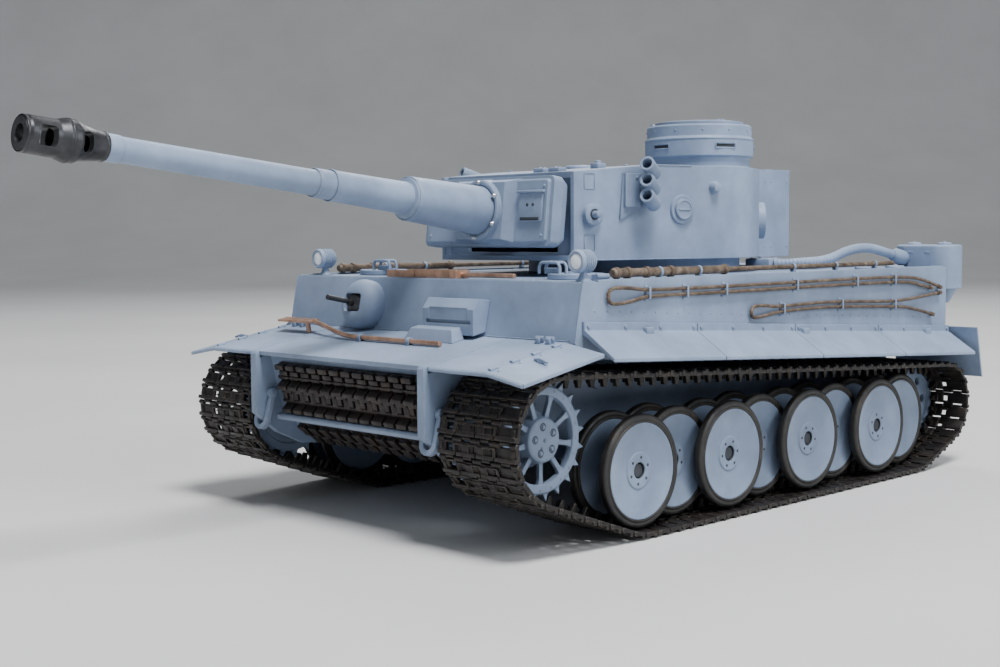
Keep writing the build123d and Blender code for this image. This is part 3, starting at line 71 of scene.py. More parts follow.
# ---------------------------------------------------------------- mesh building
class Shape:
    """A mesh in millimetres that grows primitive by primitive."""

    def __init__(self):
        self.bm = bmesh.new()

    def lathe(self, profile, centre, axis, segments=48, start=0.0):
        """Turns (distance, radius) points about an axis; a radius of 0 closes the end."""
        axis = Vector(axis).normalized()
        side = axis.orthogonal().normalized()
        other = axis.cross(side)
        centre = Vector(centre)
        rings = []
        for distance, radius in profile:
            at = centre + axis * distance
            if radius < 1e-6:
                rings.append([self.bm.verts.new(at)])
                continue
            ring = []
            for number in range(segments):
                angle = start + 2 * pi * number / segments
                ring.append(self.bm.verts.new(at + (side * cos(angle) + other * sin(angle)) * radius))
            rings.append(ring)
        for low, high in zip(rings, rings[1:]):
            for number in range(segments):
                after = (number + 1) % segments
                corners = [low[number % len(low)], low[after % len(low)],
                           high[after % len(high)], high[number % len(high)]]
                corners = list(dict.fromkeys(corners))
                if len(corners) > 2:
                    self.bm.faces.new(corners)
        return self

    def prism(self, points, origin, across, up, depth, bevel=0.0):
        """A polygon in the (across, up) plane, pushed along their cross product."""
        across, up = Vector(across).normalized(), Vector(up).normalized()
        out = across.cross(up)
        origin = Vector(origin)
        near = [self.bm.verts.new(origin + across * u + up * v) for u, v in points]
        far = [self.bm.verts.new(origin + across * u + up * v + out * depth) for u, v in points]
        faces = [self.bm.faces.new(far), self.bm.faces.new(near[::-1])]
        for number in range(len(points)):
            after = (number + 1) % len(points)
            faces.append(self.bm.faces.new([near[number], near[after], far[after], far[number]]))
        if bevel:
            edges = {edge for face in faces for edge in face.edges}
            bmesh.ops.bevel(self.bm, geom=list(edges), offset=bevel, segments=2, profile=0.5,
                            affect="EDGES", clamp_overlap=True)
        return self

    def box(self, x, y, z, bevel=0.0):
        """A box between the given (low, high) limits."""
        points = [(x[0], y[0]), (x[1], y[0]), (x[1], y[1]), (x[0], y[1])]
        return self.prism(points, (0, 0, z[0]), (1, 0, 0), (0, 1, 0), z[1] - z[0], bevel)

    def bolt(self, at, out, radius=0.9, height=0.6, sides=6):
        """A bolt head with a chamfered rim."""
        profile = [(0, radius), (height * 0.65, radius), (height, radius * 0.72), (height, 0)]
        return self.lathe(profile, at, out, sides)

    def rivet(self, at, out, radius=0.55):
        profile = [(0, radius), (radius * 0.35, radius * 0.88), (radius * 0.62, radius * 0.5), (radius * 0.7, 0)]
        return self.lathe(profile, at, out, 10)

    def tube(self, points, radius, sides=10, caps=True):
        """A round bar that follows points, each a Vector."""
        rings = []
        tangent = (points[1] - points[0]).normalized()
        side = tangent.orthogonal().normalized()
        for number, at in enumerate(points):
            before = points[max(number - 1, 0)]
            after = points[min(number + 1, len(points) - 1)]
            tangent = (after - before).normalized()
            side = (side - tangent * side.dot(tangent)).normalized()
            other = tangent.cross(side)
            ring = []
            for step in range(sides):
                angle = 2 * pi * step / sides
                ring.append(self.bm.verts.new(at + (side * cos(angle) + other * sin(angle)) * radius))
            rings.append(ring)
        for low, high in zip(rings, rings[1:]):
            for step in range(sides):
                after = (step + 1) % sides
                self.bm.faces.new([low[step], low[after], high[after], high[step]])
        if caps:
            self.bm.faces.new(rings[0][::-1])
            self.bm.faces.new(rings[-1])
        return self

    def mesh(self, name, smooth_angle=38.0):
        bmesh.ops.recalc_face_normals(self.bm, faces=self.bm.faces)
        self.bm.transform(Matrix.Scale(MM, 4))
        mesh = bpy.data.meshes.new(name)
        self.bm.to_mesh(mesh)
        self.bm.free()
        mesh.shade_smooth()
        mesh.set_sharp_from_angle(angle=radians(smooth_angle))
        return mesh

    def piece(self, name, material, body, slot, replaces=(), smooth_angle=38.0):
        return place(name, self.mesh(name, smooth_angle), material, body, replaces)


def place(name, mesh, material, body, replaces=()):
    piece = bpy.data.objects.new(name, mesh)
    bpy.context.scene.collection.objects.link(piece)
    mesh.materials.clear()
    for one in material if isinstance(material, (list, tuple)) else [material]:
        mesh.materials.append(one)
    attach(piece, body)
    if replaces:
        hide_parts(*replaces)
    return piece


# ---------------------------------------------------------------- materials
class Nodes:
    """A short way to write a node tree."""

    def __init__(self, name):
        self.material = bpy.data.materials.new(name)
        self.material.use_nodes = True
        self.tree = self.material.node_tree
        self.shader = self.tree.nodes["Principled BSDF"]
        self.position = self.new("ShaderNodeTexCoord").outputs["Object"]

    def new(self, kind, **settings):
        node = self.tree.nodes.new(kind)
        for key, value in settings.items():
            setattr(node, key, value)
        return node

    def link(self, source, target):
        self.tree.links.new(source, target)

    def noise(self, scale, detail=4.0, roughness=0.6, stretch=None):
        source = self.position
        if stretch:
            mapping = self.new("ShaderNodeMapping")
            mapping.inputs["Scale"].default_value = stretch
            self.link(source, mapping.inputs["Vector"])
            source = mapping.outputs["Vector"]
        noise = self.new("ShaderNodeTexNoise")
        noise.inputs["Scale"].default_value = scale
        noise.inputs["Detail"].default_value = detail
        noise.inputs["Roughness"].default_value = roughness
        self.link(source, noise.inputs["Vector"])
        return noise.outputs["Fac"]

    def ramp(self, value, stops):
        ramp = self.new("ShaderNodeValToRGB")
        elements = ramp.color_ramp.elements
        while len(elements) < len(stops):
            elements.new(0.5)
        for element, (place_, colour) in zip(elements, stops):
            element.position = place_
            element.color = colour if len(colour) == 4 else (*colour, 1)
        self.link(value, ramp.inputs["Fac"])
        return ramp.outputs["Color"]

    def span(self, value, low, high, to_low=0.0, to_high=1.0):
        node = self.new("ShaderNodeMapRange")
        for name, number in (("From Min", low), ("From Max", high), ("To Min", to_low), ("To Max", to_high)):
            node.inputs[name].default_value = number
        self.link(value, node.inputs["Value"])
        return node.outputs["Result"]

    def maths(self, operation, first, second):
        node = self.new("ShaderNodeMath", operation=operation)
        for socket, value in zip(node.inputs, (first, second)):
            if isinstance(value, (int, float)):
                socket.default_value = value
            else:
                self.link(value, socket)
        return node.outputs[0]

    def mix(self, factor, first, second):
        node = self.new("ShaderNodeMix", data_type="RGBA")
        for socket, value in ((node.inputs[0], factor), (node.inputs[6], first), (node.inputs[7], second)):
            if isinstance(value, (int, float)):
                socket.default_value = value
            elif isinstance(value, tuple):
                socket.default_value = value if len(value) == 4 else (*value, 1)
            else:
                self.link(value, socket)
        return node.outputs[2]

    def edge_mask(self, radius, low=0.02, high=0.16):
        """1 on convex and concave edges, from how far a rounded normal leans from the true one."""
        bevel = self.new("ShaderNodeBevel", samples=4)
        bevel.inputs["Radius"].default_value = radius
        geometry = self.new("ShaderNodeNewGeometry")
        dot = self.new("ShaderNodeVectorMath", operation="DOT_PRODUCT")
        self.link(bevel.outputs["Normal"], dot.inputs[0])
        self.link(geometry.outputs["Normal"], dot.inputs[1])
        return self.span(dot.outputs["Value"], 1 - low, 1 - high), bevel.outputs["Normal"]

    def upward(self, low=0.5, high=0.95):
        geometry = self.new("ShaderNodeNewGeometry")
        split = self.new("ShaderNodeSeparateXYZ")
        self.link(geometry.outputs["Normal"], split.inputs[0])
        return self.span(split.outputs["Z"], low, high)

    def bump(self, height, strength, distance, normal=None):
        node = self.new("ShaderNodeBump")
        node.inputs["Strength"].default_value = strength
        node.inputs["Distance"].default_value = distance
        self.link(height, node.inputs["Height"])
        if normal is not None:
            self.link(normal, node.inputs["Normal"])
        self.link(node.outputs["Normal"], self.shader.inputs["Normal"])

    def finish(self, colour, roughness, metallic=0.0):
        for name, value in (("Base Color", colour), ("Roughness", roughness), ("Metallic", metallic)):
            socket = self.shader.inputs[name]
            if isinstance(value, (int, float)):
                socket.default_value = value
            elif isinstance(value, tuple):
                socket.default_value = value if len(value) == 4 else (*value, 1)
            else:
                self.link(value, socket)
        return self.material


def paint(name, base, wear=0.35, rough=(0.42, 0.62)):
    """Sprayed matte paint: cloudy tone, fine grain, rain streaks, paler worn edges, and painted light on top: faces
    that point up are mixed towards a paler blue-grey.
    """
    n = Nodes(name)
    pale = tuple(min(1.0, c * 1.18 + 0.02) for c in base)
    deep = tuple(c * 0.80 for c in base)
    worn = tuple(min(1.0, c * 1.45 + 0.05) for c in base)
    cloud = n.noise(28.0, 5.0, 0.62)
    colour = n.ramp(cloud, [(0.34, deep), (0.52, base), (0.70, pale)])
    streaks = n.noise(60.0, 3.0, 0.6, stretch=(1.0, 1.0, 0.10))
    colour = n.mix(n.span(streaks, 0.56, 0.78, 0.0, 0.22), colour, tuple(c * 0.62 for c in base))
    speckle = n.noise(2600.0, 2.0, 0.7)
    colour = n.mix(n.span(speckle, 0.62, 0.80, 0.0, 0.30), colour, pale)
    edge, rounded = n.edge_mask(0.0007)
    patchy = n.maths("MULTIPLY", edge, n.span(n.noise(320.0, 3.0), 0.38, 0.62, 0.35, 1.0))
    colour = n.mix(n.maths("MULTIPLY", patchy, wear), colour, worn)
    # Painted light from above: faces that point up are mixed towards a paler blue-grey.
    colour = n.mix(n.maths("MULTIPLY", n.upward(), 0.14), colour, (0.42, 0.50, 0.60))
    grain = n.noise(1500.0, 4.0, 0.65)
    n.bump(grain, 0.18, 0.00012, rounded)
    n.shader.inputs["Specular IOR Level"].default_value = 0.42
    return n.finish(colour, n.span(n.noise(90.0, 4.0), 0.3, 0.7, *rough))


def rubber(name):
    n = Nodes(name)
    dust = n.noise(70.0, 5.0, 0.65)
    colour = n.ramp(dust, [(0.36, (0.009, 0.009, 0.009)), (0.58, (0.020, 0.018, 0.016)), (0.78, (0.060, 0.050, 0.038))])
    edge, rounded = n.edge_mask(0.0005)
    colour = n.mix(n.maths("MULTIPLY", edge, 0.35), colour, (0.085, 0.070, 0.052))
    n.bump(n.noise(1800.0, 4.0, 0.7), 0.35, 0.00010, rounded)
    return n.finish(colour, n.span(n.noise(160.0, 3.0), 0.3, 0.7, 0.42, 0.68))


def track_finish(name, warm=1.0):
    """Dark oxide with bare bright wear on what stands proud."""
    n = Nodes(name)
    rust = n.noise(120.0, 6.0, 0.7)
    colour = n.ramp(rust, [(0.32, (0.006, 0.005, 0.005)), (0.54, (0.015 * warm, 0.012, 0.010)),
                           (0.78, (0.045 * warm, 0.031, 0.021))])
    edge, rounded = n.edge_mask(0.0005, 0.01, 0.12)
    bare = n.maths("MULTIPLY", edge, n.span(n.noise(260.0, 4.0), 0.42, 0.60, 0.15, 1.0))
    colour = n.mix(n.maths("MULTIPLY", bare, 0.55), colour, (0.26, 0.23, 0.20))
    n.bump(n.noise(900.0, 5.0, 0.7), 0.45, 0.00022, rounded)
    return n.finish(colour, n.span(n.noise(200.0, 3.0), 0.3, 0.7, 0.34, 0.62), n.span(bare, 0.0, 1.0, 0.25, 0.85))


def metal(name, base, rough=(0.25, 0.45), metallic=0.9, scratch=(1.0, 1.0, 1.0)):
    n = Nodes(name)
    deep = tuple(c * 0.62 for c in base)
    pale = tuple(min(1.0, c * 1.25 + 0.01) for c in base)
    colour = n.ramp(n.noise(140.0, 5.0, 0.65, stretch=scratch), [(0.34, deep), (0.55, base), (0.75, pale)])
    edge, rounded = n.edge_mask(0.0004)
    colour = n.mix(n.maths("MULTIPLY", edge, 0.35), colour, pale)
    n.bump(n.noise(1400.0, 4.0, 0.6, stretch=scratch), 0.22, 0.00010, rounded)
    return n.finish(colour, n.span(n.noise(240.0, 3.0), 0.3, 0.7, *rough), metallic)


def moulded(name, base):
    """Moulded plastic for the works inside."""
    n = Nodes(name)
    colour = n.ramp(n.noise(90.0, 4.0), [(0.35, tuple(c * 0.8 for c in base)), (0.65, base)])
    edge, rounded = n.edge_mask(0.0004)
    colour = n.mix(n.maths("MULTIPLY", edge, 0.3), colour, tuple(min(1.0, c * 1.6 + 0.02) for c in base))
    n.bump(n.noise(1100.0, 3.0), 0.2, 0.0001, rounded)
    return n.finish(colour, n.span(n.noise(130.0, 3.0), 0.3, 0.7, 0.35, 0.55))


def lamp_glass(name):
    n = Nodes(name)
    colour = n.ramp(n.noise(400.0, 3.0), [(0.3, (0.80, 0.84, 0.88)), (0.7, (0.95, 0.97, 1.0))])
    n.bump(n.new("ShaderNodeTexWave", wave_type="BANDS").outputs["Fac"], 0.15, 0.0001)
    n.shader.inputs["Coat Weight"].default_value = 1.0
    n.shader.inputs["Coat Roughness"].default_value = 0.05
    return n.finish(colour, n.span(n.noise(300.0), 0.3, 0.7, 0.12, 0.25))


def rope_finish(name):
    n = Nodes(name)
    colour = n.ramp(n.noise(260.0, 5.0, 0.7), [(0.32, (0.055, 0.036, 0.024)), (0.55, (0.16, 0.115, 0.080)),
                                               (0.76, (0.30, 0.235, 0.18))])
    n.bump(n.noise(3000.0, 3.0, 0.7), 0.4, 0.0001)
    return n.finish(colour, n.span(n.noise(500.0), 0.3, 0.7, 0.45, 0.70), 0.35)


BLUE_GREY = (0.232, 0.296, 0.412)
PAINT = paint("blue_grey_paint", BLUE_GREY)
# Painted shade: a darker copy of the blue-grey paint for the road wheels, sprockets and idlers, which sit in shade
# under the mudguards.
SHADED_WHEEL_PAINT = paint("wheel_paint_painted_shade", (0.180, 0.232, 0.325), wear=0.25)
# Painted shade: near-black paint laid where holes, slits and recesses would be dark with shade.
PAINTED_SHADE = paint("painted_shade_grey", (0.030, 0.034, 0.042), wear=0.2, rough=(0.55, 0.75))
TYRE = rubber("tyre_rubber")
TRACK = track_finish("track_oxide")
SPARE = track_finish("spare_track_oxide", 1.2)
COPPER = metal("copper_tone", (0.56, 0.33, 0.22), (0.30, 0.48), 0.75)
GUNMETAL = metal("gunmetal", (0.055, 0.056, 0.060), (0.30, 0.50), 0.7)
STEEL = metal("bright_steel", (0.52, 0.53, 0.55), (0.22, 0.40), 0.95)
ROPE = rope_finish("rope")
LAMP = lamp_glass("lamp_glass")
BLACK = moulded("black_moulding", (0.022, 0.022, 0.024))
BOARD = moulded("board_laminate", (0.02, 0.14, 0.06))

CAD_FINISH = {
    "headlight_lenses": LAMP, "shovel": COPPER, "deck_tools": COPPER, "drive_gearboxes": STEEL,
    "battery_pack": BLACK, "control_board": BOARD, "speaker": BLACK, "traverse_motor": STEEL,
    "traverse_pinion": STEEL, "turret_ring_gear": BLACK, "power_switch": BLACK, "bow_gun": GUNMETAL,
    "spare_tracks": SPARE, "tow_cables": ROPE, "deck_cables": ROPE,
}
for node_name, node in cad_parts.items():
    finish = CAD_FINISH.get(node_name, PAINT)
    node.data.materials.clear()
    node.data.materials.append(finish)
    node.data.shade_smooth()
    node.data.set_sharp_from_angle(angle=radians(30.0))


def repaint_faces(node_name, material, chosen):
    """Gives a second finish to the faces of a CAD node whose middle, in millimetres, is chosen."""
    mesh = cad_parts[node_name].data
    mesh.materials.append(material)
    number = len(mesh.materials) - 1
    for face in mesh.polygons:
        if chosen(face.center / MM, face.normal):
            face.material_index = number


# ---------------------------------------------------------------- tracks
PITCH = 8.125
LINKS = 96
HALF_LINK = 1.75
SPROCKET_TEETH = 20
WHEEL_PATH_R = WHEEL_Z - HALF_LINK
IDLER_PATH_R = 21.2
TRACK_IN, TRACK_OUT = 65.6, 110.9
SPROCKET_PATH_R = PITCH / (2 * sin(pi / SPROCKET_TEETH))


def track_segments():
    """Straights and arcs of the pitch line in (Y, Z): sprocket, idler, rear wheel, front wheel."""
    last = back(AXLE_STEP * 7)
    circles = [(SPROCKET.y, SPROCKET.z, SPROCKET_PATH_R), (IDLER.y, IDLER.z, IDLER_PATH_R),
               (last, WHEEL_Z, WHEEL_PATH_R), (back(0), WHEEL_Z, WHEEL_PATH_R)]
    runs = []
    for here, there in zip(circles, circles[1:] + circles[:1]):
        gap = hypot(there[0] - here[0], there[1] - here[1])
        heading = atan2(there[1] - here[1], there[0] - here[0]) - asin((here[2] - there[2]) / gap)
        start = (here[0] - here[2] * sin(heading), here[1] + here[2] * cos(heading))
        runs.append((start, heading, (gap ** 2 - (here[2] - there[2]) ** 2) ** 0.5))
    segments = []
    for number, (start, heading, length) in enumerate(runs):
        circle = circles[(number + 1) % 4]
        turn = (heading - runs[(number + 1) % 4][1]) % (2 * pi)
        segments.append(("straight", start, heading, length))
        segments.append(("arc", circle, heading, circle[2] * turn))
    return segments


SEGMENTS = track_segments()
LOOP = sum(segment[3] for segment in SEGMENTS)


def track_point(travel):
    travel = travel % LOOP
    for kind, place_, heading, length in SEGMENTS:
        if travel <= length:
            break
        travel -= length
    if kind == "straight":
        return place_[0] + travel * cos(heading), place_[1] + travel * sin(heading)
    turned = heading - travel / place_[2]
    return place_[0] - place_[2] * sin(turned), place_[1] + place_[2] * cos(turned)


def link_shape(side):
    """One cast link: grouser blocks, pockets, pin knuckles, tooth slots and two guide horns."""
    s = Shape()

    def bar(x, y, z, bevel=0.18):
        s.box(sorted((side * x[0], side * x[1])), y, z, bevel)

    edge = PITCH / 2 - 0.5
    for x in ((66.0, 70.1), (73.9, 86.0), (86.4, 95.6), (99.4, 110.5)):
        bar(x, (-edge + 0.5, edge - 0.9), (-1.1, 0.55))
    for x in ((69.9, 74.1), (95.4, 99.6)):
        bar(x, (-edge + 0.4, -1.9), (-0.9, 0.5), 0.12)
        bar(x, (1.9, edge - 0.7), (-0.9, 0.5), 0.12)
    for x in ((66.0, 76.2), (77.0, 87.6), (88.4, 98.2), (99.0, 110.6)):
        bar(x, (-2.9, -1.2), (0.2, HALF_LINK), 0.22)
    for x in ((67.2, 68.6), (75.0, 76.4), (80.2, 84.2), (88.8, 92.6), (97.6, 99.2), (107.6, 109.2)):
        bar(x, (-1.4, 1.9), (0.4, 1.25), 0.16)
    for x in ((75.0, 80.6), (83.8, 89.0), (92.0, 99.0)):
        bar(x, (1.5, 2.3), (0.4, 1.25), 0.16)
    for x in ((65.8, 69.4), (74.6, 79.8), (85.2, 90.4), (95.8, 101.2), (107.0, 110.8)):
        s.lathe([(0, 0), (0, 0.9), (0.25, 1.12), (abs(x[1] - x[0]) - 0.25, 1.12), (abs(x[1] - x[0]), 0.9),
                 (abs(x[1] - x[0]), 0)], (side * x[0], PITCH / 2 - 0.4, 0), (side, 0, 0), 12)
    for x in ((69.9, 74.2), (80.3, 84.7), (90.9, 95.3), (101.7, 106.5)):
        s.lathe([(0, 0), (0, 0.95), (x[1] - x[0], 0.95), (x[1] - x[0], 0)],
                (side * x[0], -PITCH / 2 + 0.4, 0), (side, 0, 0), 12)
    for x in ((74.7, 76.9), (90.3, 92.5)):
        low, high = sorted((side * x[0], side * x[1]))
        s.prism([(-2.0, 0.0), (2.0, 0.0), (2.0, -1.6), (0.8, -6.3), (-0.8, -6.3), (-2.0, -1.6)],
                (low, 0, 0), (0, 1, 0), (0, 0, 1), high - low, 0.2)
    bmesh.ops.recalc_face_normals(s.bm, faces=s.bm.faces)
    mesh = bpy.data.meshes.new("link")
    s.bm.to_mesh(mesh)
    s.bm.free()
    return mesh


def build_track(side, side_name):
    link = link_shape(side)
    track = Shape()
    for number in range(LINKS):
        here = track_point(number * LOOP / LINKS)
        there = track_point((number + 1) * LOOP / LINKS)
        tilt = atan2(there[1] - here[1], there[0] - here[0])
        middle = Vector((0, (here[0] + there[0]) / 2, (here[1] + there[1]) / 2))
        known = len(track.bm.verts)
        track.bm.from_mesh(link)
        track.bm.verts.ensure_lookup_table()
        turn = Matrix.Translation(middle) @ Matrix.Rotation(tilt, 4, "X")
        bmesh.ops.transform(track.bm, matrix=turn, verts=track.bm.verts[known:])
    bpy.data.meshes.remove(link)
    name = f"track_links_{side_name}"
    track.piece(name, TRACK, "hull", "track_metal", [f"track_{side_name}"])


build_track(1, "left")
build_track(-1, "right")


# ---------------------------------------------------------------- wheels
ROWS = {"outer": (101.1, 105.7), "second": (94.0, 98.6), "third": (84.2, 88.8), "inner": (78.0, 82.4)}


def disc_profile(face, low, hub_from):
    """Half section of a dished disc that faces outwards: (distance from the centre plane, radius)."""
    return [(face - 4.4, 0), (face - 4.4, 3.4), (face - 4.2, 3.6), (face - 2.1, 3.6), (face - 1.95, 3.8),
            (face - 1.95, 7.7), (face - 2.15, 7.95), (face - 2.45, 8.1), (face - 2.35, 8.6), (face - 1.1, 16.0),
            (face - 0.62, 19.3), (face - 0.35, 19.9), (face - 0.25, 20.6), (face - 0.5, 20.9), (low + 0.5, 20.9),
            (low + 0.25, 20.6), (low + 0.4, 19.6), (low - 0.2, 8.0), (low - 0.2, 5.2), (hub_from, 5.2),
            (hub_from, 0)]


def tyre_profile(low, high):
    """Section of a solid tyre with a bead against the disc, a groove and a rounded tread."""
    return [(high - 0.45, 20.75), (high - 0.08, 21.05), (high, 21.5), (high - 0.25, 21.85), (high - 0.5, 22.05),
            (high - 0.3, 22.3), (high - 0.2, 23.2), (high - 0.55, 24.05), (high - 1.15, 24.45), (high - 1.7, 24.5),
            (low + 1.7, 24.5), (low + 1.15, 24.45), (low + 0.55, 24.05), (low + 0.2, 23.2), (low + 0.3, 22.3),
            (low + 0.5, 22.05), (low + 0.25, 21.85), (low, 21.5), (low + 0.08, 21.05), (low + 0.45, 20.75),
            (high - 0.45, 20.75)]


def build_wheels(side, side_name, axle):
    centre = (0, back(AXLE_STEP * axle), WHEEL_Z)
    out = (side, 0, 0)
    rows = ("outer", "third") if axle % 2 == 0 else ("second", "inner")
    (low_a, high_a), (low_b, high_b) = ROWS[rows[0]], ROWS[rows[1]]
    body = f"wheels_{side_name}_{axle + 1}"
    discs = Shape()
    discs.lathe(disc_profile(high_a, low_a, high_b - 1.0), centre, out, 72)
    discs.lathe([(high_b - 0.9, 0), (high_b - 0.9, 5.2), (high_b - 1.2, 8.0), (high_b - 0.5, 19.6),
                 (high_b - 0.3, 20.9), (low_b + 0.3, 20.9), (low_b + 0.5, 19.6), (low_b + 1.2, 8.0),
                 (low_b + 1.0, 5.2), (low_b - 0.9, 5.2), (low_b - 0.9, 0)], centre, out, 56)
    discs.piece(f"wheel_discs_{side_name}_{axle + 1}", SHADED_WHEEL_PAINT, body, "road_wheel",
                [f"road_wheels_{side_name}_{axle + 1}"])
    tyres = Shape()
    tyres.lathe(tyre_profile(low_a, high_a), centre, out, 72)
    tyres.lathe(tyre_profile(low_b, high_b), centre, out, 56)
    tyres.piece(f"tyres_{side_name}_{axle + 1}", TYRE, body, "road_wheel")
    # Painted shade: near-black discs stand for the six bolt holes, and a near-black sleeve stands for the hub recess.
    holes = Shape()
    for number in range(6):
        angle = 2 * pi * number / 6 + 0.35 + 0.4 * axle
        at = Vector(centre) + Vector((side * (high_a - 2.0), 5.75 * cos(angle), 5.75 * sin(angle)))
        holes.lathe([(0, 0.68), (0.10, 0.66), (0.12, 0.60), (0.12, 0)], at, out, 12)
    holes.lathe([(high_a - 2.4, 3.62), (high_a - 2.4, 3.5), (high_a - 4.2, 3.4), (high_a - 4.38, 3.2)],
                centre, out, 32)
    holes.piece(f"hub_holes_{side_name}_{axle + 1}", PAINTED_SHADE, body, "road_wheel")


def toothed_ring(shape, centre, side, low, high, inner, rim, tip, teeth, first):
    """A flat ring with pointed teeth, in the plane across X."""
    steps = 12
    loops = []
    for x in (low, high):
        outer, inside = [], []
        for number in range(teeth * steps):
            angle = first + 2 * pi * number / (teeth * steps)
            share = abs((number % steps) / steps - 0.0)
            share = min(share, 1 - share)
            height = max(0.0, 1 - share / 0.20) if share > 0.035 else 0.96
            radius = rim + (tip - rim) * min(height, 0.96) ** 1.1
            outer.append(shape.bm.verts.new((side * x, centre[1] + radius * cos(angle),
                                             centre[2] + radius * sin(angle))))
            inside.append(shape.bm.verts.new((side * x, centre[1] + inner * cos(angle),
                                              centre[2] + inner * sin(angle))))
        loops.append((outer, inside))
    count = teeth * steps
    (outer_a, inner_a), (outer_b, inner_b) = loops
    for number in range(count):
        after = (number + 1) % count
        for a, b in ((outer_a, outer_b), (inner_a, inner_b), (outer_a, inner_a), (outer_b, inner_b)):
            shape.bm.faces.new([a[number], a[after], b[after], b[number]])


def build_sprocket(side, side_name):
    centre = (0, SPROCKET.y, SPROCKET.z)
    out = (side, 0, 0)
    s = Shape()
    steps = int((LINKS * PITCH - 3.5 * PITCH) / PITCH)
    here, there = track_point(steps * LOOP / LINKS), track_point((steps + 1) * LOOP / LINKS)
    first = atan2((here[1] + there[1]) / 2 - SPROCKET.z, (here[0] + there[0]) / 2 - SPROCKET.y)
    toothed_ring(s, centre, side, 96.4, 98.4, 19.4, 22.2, 25.6, SPROCKET_TEETH, first)
    toothed_ring(s, centre, side, 70.9, 73.1, 18.4, 22.2, 25.6, SPROCKET_TEETH, first)
    s.lathe([(97.9, 18.1), (98.8, 18.3), (98.9, 18.8), (98.9, 21.5), (98.6, 21.9), (97.9, 21.9),
             (96.0, 21.9), (96.0, 18.1), (97.9, 18.1)], centre, out, 80)
    for number in range(9):
        angle = first + 2 * pi * number / 9
        along = Vector((0, cos(angle), sin(angle)))
        across = Vector((0, -sin(angle), cos(angle)))
        root = Vector((side * 96.5, centre[1], centre[2]))
        s.prism([(8.0, -1.5), (11.0, -0.85), (16.0, -0.85), (18.6, -1.9), (18.6, 1.9), (16.0, 0.85),
                 (11.0, 0.85), (8.0, 1.5)], root, along, across, 1.6 * side, 0.28)
    s.lathe([(91.5, 10.6), (95.6, 10.2), (97.2, 9.6), (98.9, 9.3), (99.7, 9.0), (100.15, 8.4), (100.3, 7.6),
             (100.3, 0)], centre, out, 48)
    s.lathe([(70.7, 3), (70.7, 6.0), (73.3, 8.0), (73.6, 12.0), (91.0, 12.0), (91.5, 10.6)], centre, out, 40)
    s.lathe([(61.1, 0), (61.1, 3.0), (70.7, 3.0)], centre, out, 24)
    for low, high, radius in ((70.9, 73.1, 18.6),):
        s.lathe([(low + 0.4, radius), (low + 0.4, 8.0), (high - 0.4, 8.0), (high - 0.4, radius)], centre, out, 48)
    for number in range(20):
        angle = first + 2 * pi * (number + 0.5) / 20
        at = Vector((side * 98.85, centre[1] + 20.2 * cos(angle), centre[2] + 20.2 * sin(angle)))
        s.bolt(at, out, 0.5, 0.35)
    s.piece(f"drive_sprocket_{side_name}", SHADED_WHEEL_PAINT, f"sprocket_{side_name}", "blue_grey_paint",
            [f"sprocket_{side_name}"], 32.0)
    # Painted shade: near-black rings round the hub bolts stand for their countersunk holes.
    dark = Shape()
    bolts = Shape()
    for number in range(5):
        angle = 0.5 + 2 * pi * number / 5
        at = Vector((side * 100.25, centre[1] + 5.6 * cos(angle), centre[2] + 5.6 * sin(angle)))
        dark.lathe([(0.0, 1.75), (0.12, 1.62), (0.12, 1.3), (0.04, 1.2), (0.04, 0)], at, out, 20)
        bolts.bolt(at, out, 1.0, 0.75)
    for radius, turn, size in ((0.0, 0.0, 0.95), (3.6, 4.2, 0.6)):
        at = Vector((side * 100.25, centre[1] + radius * cos(turn), centre[2] + radius * sin(turn)))
        dark.lathe([(0.0, size), (0.1, size * 0.9), (0.03, size * 0.7), (0.03, 0)], at, out, 16)
        bolts.bolt(at, out, size * 0.55, 0.5)
    dark.piece(f"sprocket_hub_recesses_{side_name}", PAINTED_SHADE, f"sprocket_{side_name}", "blue_grey_paint")
    bolts.piece(f"sprocket_hub_bolts_{side_name}", SHADED_WHEEL_PAINT, f"sprocket_{side_name}", "blue_grey_paint")


# Painted shade: the suspension arms' faces beyond x = 94 mm, the axle pin heads deep in the hub recesses, are painted
# near-black.
repaint_faces("suspension_arms", PAINTED_SHADE, lambda at, normal: abs(at.x) > ROWS["second"][0])
for side_name, side in (("left", 1), ("right", -1)):
    for axle in range(8):
        build_wheels(side, side_name, axle)
    build_sprocket(side, side_name)
    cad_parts[f"idler_{side_name}"].data.materials[0] = SHADED_WHEEL_PAINT

# ---------------------------------------------------------------- spare links on the nose
SPARE_HALF, SPARE_LINKS = 49.0, 12
NOSE = [(back(-76.0), 74.3), (back(-69.5), 47.0), (back(-52.0), 32.2)]


def nose_axes(plate):
    """Foot, upward direction and outward direction of one nose plate, in the (Y, Z) plane."""
    (top_y, top_z), (foot_y, foot_z) = NOSE[plate], NOSE[plate + 1]
    up = Vector((0, top_y - foot_y, top_z - foot_z)).normalized()
    return Vector((0, foot_y, foot_z)), up, Vector((0, -up.z, up.y))


